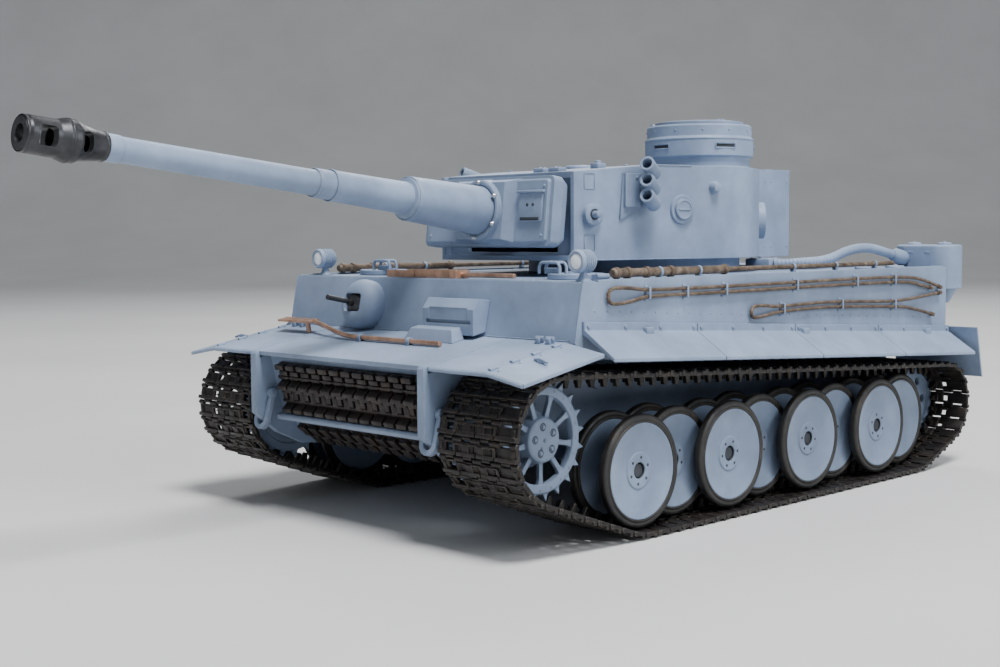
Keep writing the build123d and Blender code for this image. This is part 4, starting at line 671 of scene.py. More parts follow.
def build_spare_links():
    s = Shape()
    foot, up, out = nose_axes(0)

    def block(x, along, away, lean=0.0, bevel=0.2):
        points = [(along[0], away[0]), (along[1], away[0]), (along[1] - lean, away[1]), (along[0] - lean, away[1])]
        s.prism(points, foot + Vector((x[0], 0, 0)), up, out, x[1] - x[0], bevel)

    step = 2 * SPARE_HALF / SPARE_LINKS
    s.prism([(1.4, 0.2), (25.2, 0.2), (25.2, 2.0), (1.4, 2.0)], foot - Vector((SPARE_HALF, 0, 0)), up, out,
            2 * SPARE_HALF, 0.2)
    for number in range(SPARE_LINKS):
        x = -SPARE_HALF + number * step
        block((x + 0.6, x + step - 1.6), (22.6, 25.0), (1.6, 5.2))
        block((x + 2.2, x + step - 0.2), (19.8, 22.0), (1.6, 4.4))
        block((x + 0.2, x + step - 2.4), (17.6, 19.2), (1.6, 3.6))
        for along, reach in ((16.2, 6.2), (5.0, 6.0)):
            block((x + 0.5, x + step - 1.2), (along - 0.4, along + 1.6), (1.6, reach), 2.6, 0.25)
        block((x + 0.3, x + step - 0.6), (11.2, 13.6), (1.6, 4.0))
        block((x + 0.3, x + 3.2), (8.0, 11.6), (1.6, 3.6))
        block((x + 4.2, x + step - 0.5), (7.2, 11.0), (1.6, 3.2))
        block((x + 1.0, x + step - 1.0), (1.8, 3.4), (1.6, 3.4))
    for along in (7.0, 18.4):
        s.lathe([(0, 0), (0, 0.9), (2 * SPARE_HALF + 2, 0.9), (2 * SPARE_HALF + 2, 0)],
                foot + up * along + out * 2.4 - Vector((SPARE_HALF + 1, 0, 0)), (1, 0, 0), 12)
    foot, up, out = nose_axes(1)
    s.prism([(3.6, 0.2), (17.2, 0.2), (17.2, 1.8), (3.6, 1.8)], foot - Vector((SPARE_HALF, 0, 0)), up, out,
            2 * SPARE_HALF, 0.2)
    for number in range(SPARE_LINKS):
        x = -SPARE_HALF + number * step
        block((x + 0.4, x + 5.2), (10.4, 17.0), (1.6, 4.4))
        block((x + 2.6, x + step - 0.4), (3.8, 9.8), (1.6, 4.0))
        block((x + 0.2, x + 2.0), (5.0, 8.6), (1.6, 3.0))
        block((x + 5.6, x + step - 0.3), (11.2, 15.0), (1.6, 3.0))
    s.piece("spare_links", SPARE, "hull", "track_metal", ["spare_tracks"])
    foot, up, out = nose_axes(0)
    bar = Shape()
    bar.prism([(0.9, -0.2), (1.1, 5.4), (0.0, 6.4), (-1.8, 6.0), (-1.4, 5.2), (-0.2, 5.0)],
              foot - Vector((54, 0, 0)), up, out, 108.0, 0.25)
    for x in (-51.5, 51.5):
        bar.bolt(foot + Vector((x, 0, 0)) + out * 6.2, out, 1.1, 0.7)
    bar.piece("spare_link_retainer", PAINT, "hull", "blue_grey_paint")


build_spare_links()


# ---------------------------------------------------------------- ropes
CABLE_X = 99.7
CABLE_R = 0.95
UPPER_ROUTE = [(266.0, 98.4), (254.0, 101.6), (234.0, 105.3), (176.0, 105.6), (60.0, 105.0), (10.0, 105.1),
               (0.5, 106.2), (-7.5, 106.8), (-15.3, 106.4), (-15.6, 100.2), (-8.0, 99.9), (0.5, 100.8),
               (10.0, 102.7), (60.0, 102.4), (176.0, 103.0), (234.0, 102.6), (244.0, 99.9), (256.0, 98.6)]
LOWER_ROUTE = [(266.0, 95.6), (252.0, 94.6), (236.0, 93.4), (216.0, 92.4), (166.0, 94.3), (140.0, 94.7),
               (108.0, 93.9), (95.0, 95.2), (86.4, 95.0), (85.8, 89.4), (95.0, 89.8), (108.0, 91.6),
               (140.0, 92.2), (166.0, 91.8), (216.0, 89.7), (232.0, 88.7), (258.0, 83.6)]
HOSE_ROUTE = [(71.0, 264.0, 116.4), (71.5, 252.0, 118.6), (70.5, 236.0, 121.2), (69.0, 219.0, 119.6),
              (66.0, 204.0, 114.2), (57.0, 190.0, 113.2), (46.1, 184.0, 112.6)]


def spline_points(name, route):
    """Points along a NURBS spline through control points given in metres."""
    curve = bpy.data.curves.new(name, "CURVE")
    curve.dimensions = "3D"
    spline = curve.splines.new("NURBS")
    spline.points.add(len(route) - 1)
    for point, place_ in zip(spline.points, route):
        point.co = (*place_, 1)
    spline.order_u = 3
    spline.use_endpoint_u = True
    spline.resolution_u = 16
    holder = bpy.data.objects.new(name, curve)
    mesh = bpy.data.meshes.new_from_object(holder)
    points = [vertex.co / MM for vertex in mesh.vertices]
    bpy.data.objects.remove(holder)
    bpy.data.meshes.remove(mesh)
    return points


def evenly(points, step):
    """The same path with points at an even spacing."""
    spaced, carried = [points[0]], 0.0
    for near, far in zip(points, points[1:]):
        run = (far - near).length
        while carried + run >= step and run > 1e-9:
            near = near + (far - near) * ((step - carried) / run)
            run = (far - near).length
            carried = 0.0
            spaced.append(near)
        carried += run
    if carried > step * 0.3:
        spaced.append(points[-1])
    return spaced


def twist(shape, points, radius, lay, strands=3, sides=6):
    """Round strands laid round a path."""
    middle = radius * 0.46
    strand_r = radius - middle
    travelled = [0.0]
    for near, far in zip(points, points[1:]):
        travelled.append(travelled[-1] + (far - near).length)
    sideways, across = [], None
    for number in range(len(points)):
        along = (points[min(number + 1, len(points) - 1)] - points[max(number - 1, 0)]).normalized()
        across = across or along.orthogonal()
        across = (across - along * across.dot(along)).normalized()
        sideways.append((across, along.cross(across)))
    for strand in range(strands):
        path = []
        for at, (u, v), run in zip(points, sideways, travelled):
            angle = 2 * pi * (run / lay + strand / strands)
            path.append(at + (u * cos(angle) + v * sin(angle)) * middle)
        shape.tube(path, strand_r, sides)


SIDE_CLIPS = ((10.6, 103.9), (36.9, 103.7), (65.7, 103.7), (123.1, 104.1), (177.6, 104.3), (215.4, 104.1),
              (112.0, 92.8), (163.6, 93.0), (215.7, 91.1))
DECK_CABLE_X, DECK_CABLE_Z = 94.0, 112.7


def build_ropes():
    ropes, clips, rods = Shape(), Shape(), Shape()
    for side in (-1, 1):
        for name, route in (("upper", UPPER_ROUTE), ("lower", LOWER_ROUTE)):
            metres = [(side * CABLE_X * MM, back(distance) * MM, height * MM) for distance, height in route]
            path = evenly(spline_points(f"{name}_route", metres), 0.75)
            twist(ropes, path, CABLE_R, 5.2)
            for end in (path[:5], path[-5:]):
                ropes.tube(end, CABLE_R + 0.25, 14)
        for distance, height in SIDE_CLIPS:
            x = sorted((side * 98.15, side * 98.7))
            clips.box(x, (back(distance - 0.9), back(distance + 0.9)), (height - 3.4, height + 3.4), 0.12)
            x = sorted((side * 98.2, side * 100.75))
            for z in (height - 2.4, height + 2.4):
                clips.box(x, (back(distance - 0.6), back(distance + 0.6)), (z - 0.25, z + 0.25), 0.1)
            clips.box(sorted((side * 100.65, side * 101.0)), (back(distance - 0.6), back(distance + 0.6)),
                      (height - 2.6, height + 2.6), 0.1)
        x, z = side * DECK_CABLE_X, DECK_CABLE_Z
        straight = [Vector((x, back(72.5 + 0.8 * n), z)) for n in range(190)]
        twist(ropes, straight, 1.3, 6.0, 4)
        for distance, reach, radius in ((-6.5, 38.5, 2.05), (33.0, 39.5, 1.95)):
            rods.lathe([(0, 0), (0, radius * 0.8), (0.8, radius), (reach * 0.4, radius * 0.94),
                        (reach - 0.8, radius), (reach, radius * 0.8), (reach, 0)],
                       (x, back(distance), z), (0, 1, 0), 20)
        for distance, radius in ((-5.0, 2.5), (2.0, 2.6), (15.0, 2.5), (31.5, 2.6), (71.0, 2.4)):
            rods.lathe([(0, radius - 0.5), (0.3, radius), (2.2, radius), (2.5, radius - 0.5), (0, radius - 0.5)],
                       (x, back(distance), z), (0, 1, 0), 20)
        for distance, radius in ((24.0, 2.35), (52.0, 2.3), (128.0, 1.65), (166.0, 1.65), (204.0, 1.65)):
            clips.lathe([(0, radius - 0.3), (0.0, radius), (1.6, radius), (1.6, radius - 0.3), (0, radius - 0.3)],
                        (x, back(distance), z), (0, 1, 0), 20)
            clips.box((x - 1.3, x + 1.3), (back(distance), back(distance + 1.6)), (110.3, z - radius + 0.4), 0.1)
    ropes.piece("tow_ropes", ROPE, "hull", "brown_cable", ["tow_cables", "deck_cables"])
    rods.piece("cable_splices", ROPE, "hull", "brown_cable")
    clips.piece("cable_clips", PAINT, "hull", "blue_grey_paint")


def build_hoses():
    hoses, bands = Shape(), Shape()
    for side in (-1, 1):
        metres = [(side * x * MM, back(distance) * MM, height * MM) for x, distance, height in HOSE_ROUTE]
        path = evenly(spline_points("hose_route", metres), 0.5)
        rings = []
        for number, at in enumerate(path):
            before, after = path[max(number - 1, 0)], path[min(number + 1, len(path) - 1)]
            along = (after - before).normalized()
            u = along.orthogonal().normalized()
            v = along.cross(u)
            radius = 2.6 - 0.22 * (number % 4 in (2, 3))
            rings.append([hoses.bm.verts.new(at + (u * cos(a) + v * sin(a)) * radius)
                          for a in (2 * pi * k / 18 for k in range(18))])
        for low, high in zip(rings, rings[1:]):
            gaps = [(low[0].co - high[k].co).length for k in range(18)]
            shift = gaps.index(min(gaps))
            for k in range(18):
                hoses.bm.faces.new([low[k], low[(k + 1) % 18], high[(k + 1 + shift) % 18], high[(k + shift) % 18]])
        start, end = Vector((side * 71.0, back(275.5), 114.2)), path[0]
        direction = (end - start).normalized()
        length = (end - start).length
        bands.lathe([(0, 3.9), (1.5, 4.4), (length - 3, 4.3), (length - 1.2, 3.4), (length + 1.5, 2.95),
                     (length + 1.5, 2.0)], start, direction, 28)
        bands.lathe([(-0.8, 2.5), (-0.8, 3.2), (0.9, 3.2), (0.9, 2.5)], path[-1], path[-2] - path[-1], 24)
        x = sorted((side * 30.0, side * 46.0))
        bands.box(x, (back(178.0), back(190.0)), (109.6, 115.5), 0.9)
        for dx in (33.0, 43.0):
            for y in (180.0, 188.0):
                bands.bolt((side * dx, back(y), 115.45), (0, 0, 1), 0.8, 0.5)
    hoses.piece("ribbed_hoses", PAINT, "hull", "blue_grey_paint", ["air_hoses"])
    bands.piece("hose_unions", PAINT, "hull", "blue_grey_paint")


build_ropes()
build_hoses()


# ---------------------------------------------------------------- headlights
def build_headlights():
    bodies, lenses, reflectors = Shape(), Shape(), Shape()
    for side in (-1, 1):
        at = Vector((side * 88.9, back(-23.5), 118.0))
        profile = [(0.2, 3.3), (-0.5, 3.5), (-0.7, 4.3), (0.0, 4.85), (1.4, 4.95), (1.8, 4.6)]
        for rib in range(5):
            start = 2.2 + rib * 1.15
            profile += [(start, 4.35), (start + 0.15, 4.95), (start + 0.6, 4.95), (start + 0.75, 4.35)]
        profile += [(8.4, 4.2), (9.2, 3.6), (9.9, 2.4), (10.0, 0)]
        bodies.lathe(profile, at, (0, 1, 0), 40)
        bodies.lathe([(0, 3.4), (0.6, 3.2), (1.4, 2.2), (3.2, 1.6), (5.0, 1.6)], (at.x, at.y + 4.6, 109.6),
                     (0, 0, 1), 24)
        for number in range(4):
            angle = pi / 4 + number * pi / 2
            bodies.bolt((at.x + 2.5 * cos(angle), at.y + 4.6 + 2.5 * sin(angle), 109.9), (0, 0, 1), 0.5, 0.5)
        bodies.lathe([(0, 0), (0, 1.5), (1.2, 1.5), (1.4, 1.2), (1.4, 0)], at + Vector((0, 4.6, -6.2)),
                     (side, 0, 0), 16)
        lenses.lathe([(0.4, 3.3), (-0.1, 3.25), (-0.5, 2.6), (-0.8, 1.4), (-0.9, 0)], at, (0, 1, 0), 32)
        reflectors.lathe([(0.5, 3.35), (0.9, 2.4), (1.3, 1.0), (1.4, 0)], at, (0, 1, 0), 24)
    bodies.piece("headlight_housings", PAINT, "hull", "blue_grey_paint", ["headlights"])
    lenses.piece("headlight_glass", LAMP, "hull", "lamp_glass", ["headlight_lenses"])
    reflectors.piece("headlight_reflectors", STEEL, "hull", "bare_metal")


build_headlights()


# ---------------------------------------------------------------- turret details
TURRET_BACK, TURRET_R = 119.0, 66.0
TURRET_FRONT_BACK, TURRET_FRONT_HALF = 22.5, 45.5
TURRET_ROOF = 162.5
REACH = TURRET_BACK - TURRET_FRONT_BACK
WALL_ANGLE = pi / 2 - atan2(TURRET_FRONT_HALF, REACH) - acos(TURRET_R / hypot(TURRET_FRONT_HALF, REACH))


def wall_frame(side, distance, z, out=0.0):
    """Origin, across and up on a straight turret wall; across runs so that across x up points outwards."""
    outward = Vector((side * cos(WALL_ANGLE), -sin(WALL_ANGLE), 0))
    across = Vector((0, 0, 1)).cross(outward)
    x = TURRET_FRONT_HALF + (distance - TURRET_FRONT_BACK) * sin(WALL_ANGLE) / cos(WALL_ANGLE)
    return Vector((side * x, back(distance), z)) + outward * out, across, Vector((0, 0, 1)), outward


def rectangle(half_u, half_v, middle=(0, 0)):
    u, v = middle
    return [(u - half_u, v - half_v), (u + half_u, v - half_v), (u + half_u, v + half_v), (u - half_u, v + half_v)]


def outline_frame(shape, origin, across, up, half_u, half_v, width, depth, bevel=0.08):
    """A thin raised rectangle outline."""
    for u, v, hu, hv in ((0, half_v, half_u, width / 2), (0, -half_v, half_u, width / 2),
                         (half_u, 0, width / 2, half_v), (-half_u, 0, width / 2, half_v)):
        shape.prism(rectangle(hu, hv, (u, v)), origin, across, up, depth, bevel)


def weld(shape, points, radius=0.38, step=0.55):
    """A rippled weld bead along straight runs."""
    for near, far in zip(points, points[1:]):
        near, far = Vector(near), Vector(far)
        count = max(2, int((far - near).length / step))
        along = (far - near).normalized()
        u = along.orthogonal().normalized()
        v = along.cross(u)
        rings = []
        for number in range(count + 1):
            at = near + (far - near) * number / count
            size = radius * (0.82 + 0.18 * cos(number * 2.1) + 0.10 * sin(number * 0.73))
            rings.append([shape.bm.verts.new(at + (u * cos(a) + v * sin(a)) * size)
                          for a in (2 * pi * k / 7 for k in range(7))])
        for low, high in zip(rings, rings[1:]):
            for k in range(7):
                shape.bm.faces.new([low[k], low[(k + 1) % 7], high[(k + 1) % 7], high[k]])


def build_turret_details():
    s, dark = Shape(), Shape()
    for side in (-1, 1):
        origin, across, up, out = wall_frame(side, 84.4, 141.0, 2.1)
        s.prism(rectangle(3.3, 0.45), origin, across, up, 0.55, 0.15)
        s.lathe([(0, 3.9), (0.35, 4.1), (0.35, 4.6), (0, 4.8)], origin, out, 36)
        origin, across, up, out = wall_frame(side, 84.4, 141.0, 0.0)
        s.lathe([(0.0, 7.3), (0.5, 7.2), (1.1, 6.9), (1.15, 6.2)], origin, out, 40)
        for z, half in ((154.0, 3.6), (125.5, 3.6)):
            origin, across, up, out = wall_frame(side, 31.0, z, 0.0)
            outline_frame(s, origin, across, up, 2.9, half, 0.35, 0.28)
        origin, across, up, out = wall_frame(side, 32.0, 138.5, 3.0)
        s.lathe([(-0.6, 5.2), (-0.2, 5.2), (0.2, 4.6), (0.1, 2.6), (-0.6, 2.4)], origin, out, 36)
        s.lathe([(3.3, 1.7), (3.9, 1.5), (4.1, 0.9), (4.1, 0)], origin, out, 20)
        # Painted shade: a near-black ring in the port's opening round the plug.
        dark.lathe([(0.05, 2.6), (0.15, 2.0), (0.05, 1.7)], origin, out, 24)
        foot, across, up, out = wall_frame(side, 54.0, 150.0, 0.1)
        s.prism([(-side * 6.5, -14.0), (side * 5.5, -8.2), (side * 5.5, 8.0), (-side * 4.5, 8.0)][::side],
                foot, across, up, 0.9, 0.2)
        for v in (-6.0, 6.0):
            s.bolt(foot + up * v + out * 2.55 + across * 2.0, out, 0.8, 0.5)
        weld(s, [wall_frame(side, 23.5, 117.3, 0.1)[0], wall_frame(side, 90.0, 117.3, 0.1)[0]])
        weld(s, [wall_frame(side, 69.0, TURRET_ROOF - 0.3, 0.1)[0], wall_frame(side, 90.0, TURRET_ROOF - 0.3, 0.1)[0]])
        lug, across, up, out = wall_frame(side, 104.0, 152.0, 0.0)
        s.lathe([(-0.5, 3.2), (1.2, 3.0), (3.2, 2.2), (3.6, 1.2), (3.6, 0)], lug, out, 28)
    arc = [Vector(((TURRET_R + 0.1) * sin(a), back(TURRET_BACK) + (TURRET_R + 0.1) * cos(a), 117.3))
           for a in (radians(-62 + 124 * k / 24) for k in range(25))]
    weld(s, arc)
    # roof fittings
    for x in (14.0, 24.0):
        s.box((x - 3.4, x + 3.4), (back(31.5), back(37.5)), (158.9, 161.3), 0.4)
        for y in (33.0, 36.0):
            s.bolt((x, back(y), 161.2), (0, 0, 1), 0.9, 0.6)
    s.box((31.0, 36.0), (back(50.0), back(56.0)), (160.6, 163.6), 0.4)
    s.lathe([(0, 1.5), (1.2, 1.5), (1.5, 1.1), (1.5, 0)], (33.5, back(53.0), 163.4), (0, 0, 1), 20)
    for number in range(10):
        angle = 2 * pi * number / 10
        s.rivet((9.2 * cos(angle) * 0.62, back(76.0) + 9.2 * sin(angle) * 0.62, 163.7), (0, 0, 1), 0.6)
    s.lathe([(0, 7.2), (0.9, 7.0), (1.3, 6.4), (1.3, 4.6), (0.9, 4.2), (1.0, 0)], (0, back(76.0), 163.0),
            (0, 0, 1), 40)
    for x, y in ((-40, 66), (-40, 92), (40, 66), (40, 92), (0, 172), (-36, 150)):
        s.bolt((x, back(y), TURRET_ROOF), (0, 0, 1), 1.0, 0.5)
    s.piece("turret_fittings", PAINT, "turret", "blue_grey_paint")
    dark.piece("turret_recesses", PAINTED_SHADE, "turret", "blue_grey_paint")


def build_cupola_details():
    s, dark = Shape(), Shape()
    cx, cy = 29.0, back(138.0)
    s.lathe([(0, 26.3), (0.2, 27.2), (0.9, 27.0), (1.3, 26.4)], (cx, cy, TURRET_ROOF), (0, 0, 1), 96)
    s.lathe([(0, 28.0), (0.15, 28.45), (0.7, 28.45), (0.85, 28.0)], (cx, cy, 177.3), (0, 0, 1), 96)
    for number in range(5):
        angle = radians(72 * number - 24)
        out = Vector((cos(angle), sin(angle), 0))
        across = Vector((-sin(angle), cos(angle), 0))
        outline_frame(s, Vector((cx, cy, 174.0)) + out * 27.95, across, Vector((0, 0, 1)), 5.6, 1.3, 0.4, 0.4)
        # Painted shade: near-black strips behind the frames stand for the vision slits.
        dark.prism(rectangle(4.8, 0.65), Vector((cx, cy, 174.0)) + out * 27.2, across, Vector((0, 0, 1)), 0.5, 0.1)
    for number in range(12):
        angle = 2 * pi * number / 12 + 0.2
        s.rivet((cx + 27.25 * cos(angle), cy + 27.25 * sin(angle), 182.2), (cos(angle), sin(angle), 0), 0.55)
    s.piece("cupola_fittings", PAINT, "turret", "blue_grey_paint")
    dark.piece("cupola_slits", PAINTED_SHADE, "turret", "blue_grey_paint")
    lid = Shape()
    lid.lathe([(0, 21.4), (0.35, 21.2), (0.5, 20.6), (0.35, 20.0), (0, 19.8)], (cx, cy, 186.85), (0, 0, 1), 72)
    for number in range(8):
        angle = 2 * pi * number / 8 + 0.3
        lid.rivet((cx + 17.6 * cos(angle), cy + 17.6 * sin(angle), 186.85), (0, 0, 1), 0.7)
    grip = [Vector((cx + 12 + 5.0 * cos(a), cy + 0.0, 186.7 + 1.5 * sin(a))) for a in (pi * k / 10 for k in range(11))]
    lid.tube(grip, 0.55, 10)
    lid.piece("cupola_lid_fittings", PAINT, "cupola_lid", "blue_grey_paint")
    top = Shape()
    outline_frame(top, Vector((-30.0, back(116.0), 164.45)), Vector((1, 0, 0)), Vector((0, 1, 0)), 14.6, 11.8, 0.8, 0.35)
    for x in (-43.0, -17.0):
        for y in (105.5, 126.5):
            top.rivet((x, back(y), 164.5), (0, 0, 1), 0.7)
    grip = [Vector((-30.0 + 6 * cos(a), back(112.0), 164.3 + 2.2 * sin(a))) for a in (pi * k / 12 for k in range(13))]
    top.tube(grip, 0.6, 10)
    top.piece("loader_lid_fittings", PAINT, "loader_lid", "blue_grey_paint")


def build_bin_details():
    s = Shape()
    low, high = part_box("stowage_bin")
    low, high = low / MM, high / MM
    for z in (122.0, 157.5):
        for side in (-1, 1):
            for number in range(6):
                y = back(196.0 - 5.5 * number) if number else back(206.0)
                s.rivet((side * 38.0, y, z), (side, 0, 0), 0.6)
        for number in range(9):
            s.rivet((-34 + 8.5 * number, high.y, z), (0, 1, 0), 0.6)
    s.box((-37.8, 37.8), (back(186.0), high.y + 0.5), (high.z - 0.1, high.z + 0.7), 0.25)
    for x in (-22.0, 22.0):
        s.box((x - 4.0, x + 4.0), (high.y - 0.1, high.y + 1.3), (152.0, 163.0), 0.3)
        s.lathe([(0, 0), (0, 1.1), (8, 1.1), (8, 0)], (x - 4.0, high.y + 0.6, high.z + 0.5), (1, 0, 0), 12)
        s.box((x - 1.6, x + 1.6), (high.y - 0.1, high.y + 1.8), (140.0, 150.0), 0.3)
    s.piece("bin_fittings", PAINT, "turret", "blue_grey_paint")


# ---------------------------------------------------------------- gun details
GUN_ELEVATION = radians(6.6)
BORE = Vector((0, -cos(GUN_ELEVATION), sin(GUN_ELEVATION)))
GUN_UP = Vector((0, sin(GUN_ELEVATION), cos(GUN_ELEVATION)))
SIDEWAYS = Vector((1, 0, 0))
TRUNNION = Vector((0, back(39.1), 137.0))


def gun_at(travel, x=0.0, up=0.0):
    return TRUNNION + BORE * travel + SIDEWAYS * x + GUN_UP * up


def build_gun_details():
    s, dark = Shape(), Shape()
    s.prism(rectangle(8.6, 0.6), gun_at(30.4, 31.0, 8.8), SIDEWAYS, GUN_UP, 1.9, 0.2)
    s.prism(rectangle(7.6, 6.6), gun_at(30.4, 31.0, 1.5), SIDEWAYS, GUN_UP, 0.8, 0.35)
    # Painted shade: a near-black strip and two near-black holes stand for the sight openings.
    dark.prism(rectangle(6.0, 0.75), gun_at(31.0, 31.0, -3.9), SIDEWAYS, GUN_UP, 0.3, 0.05)
    for x in (29.2, 32.8):
        dark.lathe([(0, 0.75), (0.25, 0.7), (0.25, 0.5), (0.1, 0.4), (0.1, 0)], gun_at(31.1, x, 2.6), BORE, 16)
    s.prism(rectangle(4.6, 0.5), gun_at(28.4, -31.0, 12.0), SIDEWAYS, GUN_UP, 1.5, 0.2)
    for side in (-1, 1):
        for up in (-11.5, 11.5):
            s.rivet(gun_at(29.8, side * 38.0, up), BORE, 0.8)
        weld(s, [gun_at(28.7, side * 23.2, -15.3), gun_at(28.7, side * 23.2, 15.3)], 0.3)
    s.lathe([(35.0, 14.4), (35.6, 14.2), (35.9, 13.4), (35.7, 12.4), (35.2, 12.0)], TRUNNION, BORE, 72)
    bolts = Shape()
    for number in range(6):
        spot = radians(60 * number + 30)
        at = gun_at(35.5, 13.2 * cos(spot), 13.2 * sin(spot))
        bolts.lathe([(0, 1.35), (0.5, 1.35), (0.7, 1.1), (1.3, 0.95), (1.7, 0.5), (1.8, 0)], at, BORE, 16)
    bolts.piece("mantlet_bolts", STEEL, "gun", "bare_metal")
    for travel, radius in ((79.2, 9.9), (123.3, 6.85), (132.0, 6.1)):
        s.lathe([(-0.5, radius), (-0.2, radius + 0.28), (0.4, radius + 0.28), (0.7, radius)],
                TRUNNION + BORE * travel, BORE, 48)
    s.piece("gun_fittings", PAINT, "gun", "blue_grey_paint")
    dark.piece("gun_recesses", PAINTED_SHADE, "gun", "blue_grey_paint")
    brake = Shape()
    for start, radius in ((231.2, 5.75), (246.0, 8.35), (263.2, 6.95)):
        brake.lathe([(-0.4, radius - 0.2), (-0.1, radius + 0.12), (0.7, radius + 0.12), (1.0, radius - 0.2)],
                    TRUNNION + BORE * start, BORE, 48)
    brake.piece("muzzle_brake_bands", GUNMETAL, "gun", "gunmetal")
    repaint_faces("gun_barrel", GUNMETAL, lambda at, normal: (at - TRUNNION).dot(BORE) > 230.55)


build_turret_details()
build_cupola_details()
build_bin_details()
build_gun_details()


# ---------------------------------------------------------------- hull details
DECK_Z = 109.5
UPPER_HALF = 98.1
GLACIS_SLOPE = 0.188


def glacis_height(distance):
    return 76.2 + (distance + 82.0) * GLACIS_SLOPE


def build_hatch_guards():
    for side, body, name in ((1, "driver_lid", "driver"), (-1, "radio_lid", "radio_operator")):
        s = Shape()
        cx, cy = side * 66.0, back(2.0)
        s.lathe([(0, 12.7), (0.25, 12.5), (0.35, 11.6), (0.1, 11.2)], (cx, cy, 111.85), (0, 0, 1), 56)
        for number in range(6):
            angle = 2 * pi * number / 6 + 0.4
            s.rivet((cx + 9.6 * cos(angle), cy + 9.6 * sin(angle), 111.88), (0, 0, 1), 0.6)
        x, y = side * 58.0, back(-7.2)
        guard = [Vector((x + u, y, z)) for u, z in ((-6.2, 111.9), (-6.2, 115.2), (-5.2, 116.6), (-3.8, 117.0), (3.8, 117.0),
                                                   (5.2, 116.6), (6.2, 115.2), (6.2, 111.9))]
        s.tube(guard, 0.75, 12)
        rear = [at + Vector((0, 4.4, 0)) for at in guard]
        s.tube(rear, 0.75, 12)
        for u in (-5.0, 5.0):
            s.tube([Vector((x + u, y, 116.9)), Vector((x + u, y + 4.4, 116.9))], 0.6, 10)
        s.box((x - 4.2, x + 4.2), (y + 0.9, y + 3.6), (111.9, 114.6), 0.3)
        s.piece(f"{name}_periscope_guard", PAINT, body, "blue_grey_paint")


def build_deck():
    s, dark = Shape(), Shape()
    for side in (-1, 1):
        cx = side * 47.0
        # Painted shade: a near-black sheet under each grille stands for the depth behind the slats.
        dark.box((cx - 11.2, cx + 11.2), (back(197.0), back(263.0)), (110.6, 110.85), 0.05)
        outline_frame(s, Vector((cx, back(230.0), 110.65)), Vector((1, 0, 0)), Vector((0, 1, 0)), 12.0, 34.0, 1.6, 1.1, 0.3)
        for y in (213.0, 230.0, 247.0):
            s.box((cx - 11.6, cx + 11.6), (back(y - 0.8), back(y + 0.8)), (110.65, 111.6), 0.25)
        slats = 26
        for number in range(slats):
            y = back(198.2 + number * (263.6 - 198.2) / (slats - 1))
            s.prism([(-0.35, 0), (0.15, 0), (0.75, 0.75), (0.25, 0.75)], (cx - 11.2, y, 110.7), (0, 1, 0), (0, 0, 1),
                    22.4, 0.06)
        for dy in (197.6, 229.0, 262.4):
            for dx in (-11.9, 11.9):
                s.bolt((cx + dx, back(dy), 111.7), (0, 0, 1), 0.7, 0.45)
        for y in (214.0, 246.0):
            at = (side * 83.0, back(y), DECK_Z)
            s.lathe([(0, 4.9), (0.9, 4.8), (1.3, 4.2), (1.3, 1.2), (1.8, 1.0), (1.8, 0)], at, (0, 0, 1), 32)
            s.box(sorted((side * 77.2, side * 80.0)), (back(y - 1.4), back(y + 1.4)), (DECK_Z, DECK_Z + 1.5), 0.25)
        for y in (-14.0, 30.0, 75.0, 120.0, 165.0, 210.0, 255.0):
            s.rivet((side * 90.4, back(y), DECK_Z), (0, 0, 1), 0.75)
        weld(s, [(side * 97.0, back(-28.6), DECK_Z + 0.05), (side * 97.0, back(-20.5), DECK_Z + 0.05)], 0.35)
        weld(s, [(side * 98.0, back(-29.5), DECK_Z - 0.3), (side * 98.0, back(-34.3), 84.6)], 0.42)
        s.box(sorted((side * 20.0, side * 24.0)), (back(208.0), back(212.0)), (111.0, 112.3), 0.3)
        s.box(sorted((side * 20.0, side * 24.0)), (back(256.0), back(260.0)), (111.0, 112.3), 0.3)
        grip = [Vector((side * 14.0 + 5 * cos(a), back(222.0), 111.0 + 2.4 * sin(a))) for a in (pi * k / 10 for k in range(11))]
        s.tube(grip, 0.6, 10)
    s.lathe([(0, 9.5), (1.2, 9.3), (2.6, 8.0), (3.4, 5.0), (3.6, 0)], (0, back(240.0), 111.05), (0, 0, 1), 48)
    for number in range(8):
        angle = 2 * pi * number / 8
        s.bolt((11.0 * cos(angle), back(240.0) + 11.0 * sin(angle), 111.05), (0, 0, 1), 0.65, 0.45)
    for x in (-24, -12, 0, 12, 24):
        for y in (207.6, 260.6):
            s.rivet((x, back(y), 111.05), (0, 0, 1), 0.6)
    for x in (-60.0, 60.0):
        for y in (-20.0, 30.0):
            s.rivet((x, back(y), DECK_Z), (0, 0, 1), 0.75)
    weld(s, [(-95.0, back(-28.9), DECK_Z + 0.05), (95.0, back(-28.9), DECK_Z + 0.05)], 0.32)
    weld(s, [(-57.0, back(-34.9), 85.4), (-13.0, back(-34.9), 85.4)], 0.38)
    weld(s, [(47.0, back(-34.9), 85.4), (95.0, back(-34.9), 85.4)], 0.38)
    s.piece("deck_fittings", PAINT, "hull", "blue_grey_paint")
    dark.piece("grille_depths", PAINTED_SHADE, "hull", "blue_grey_paint")


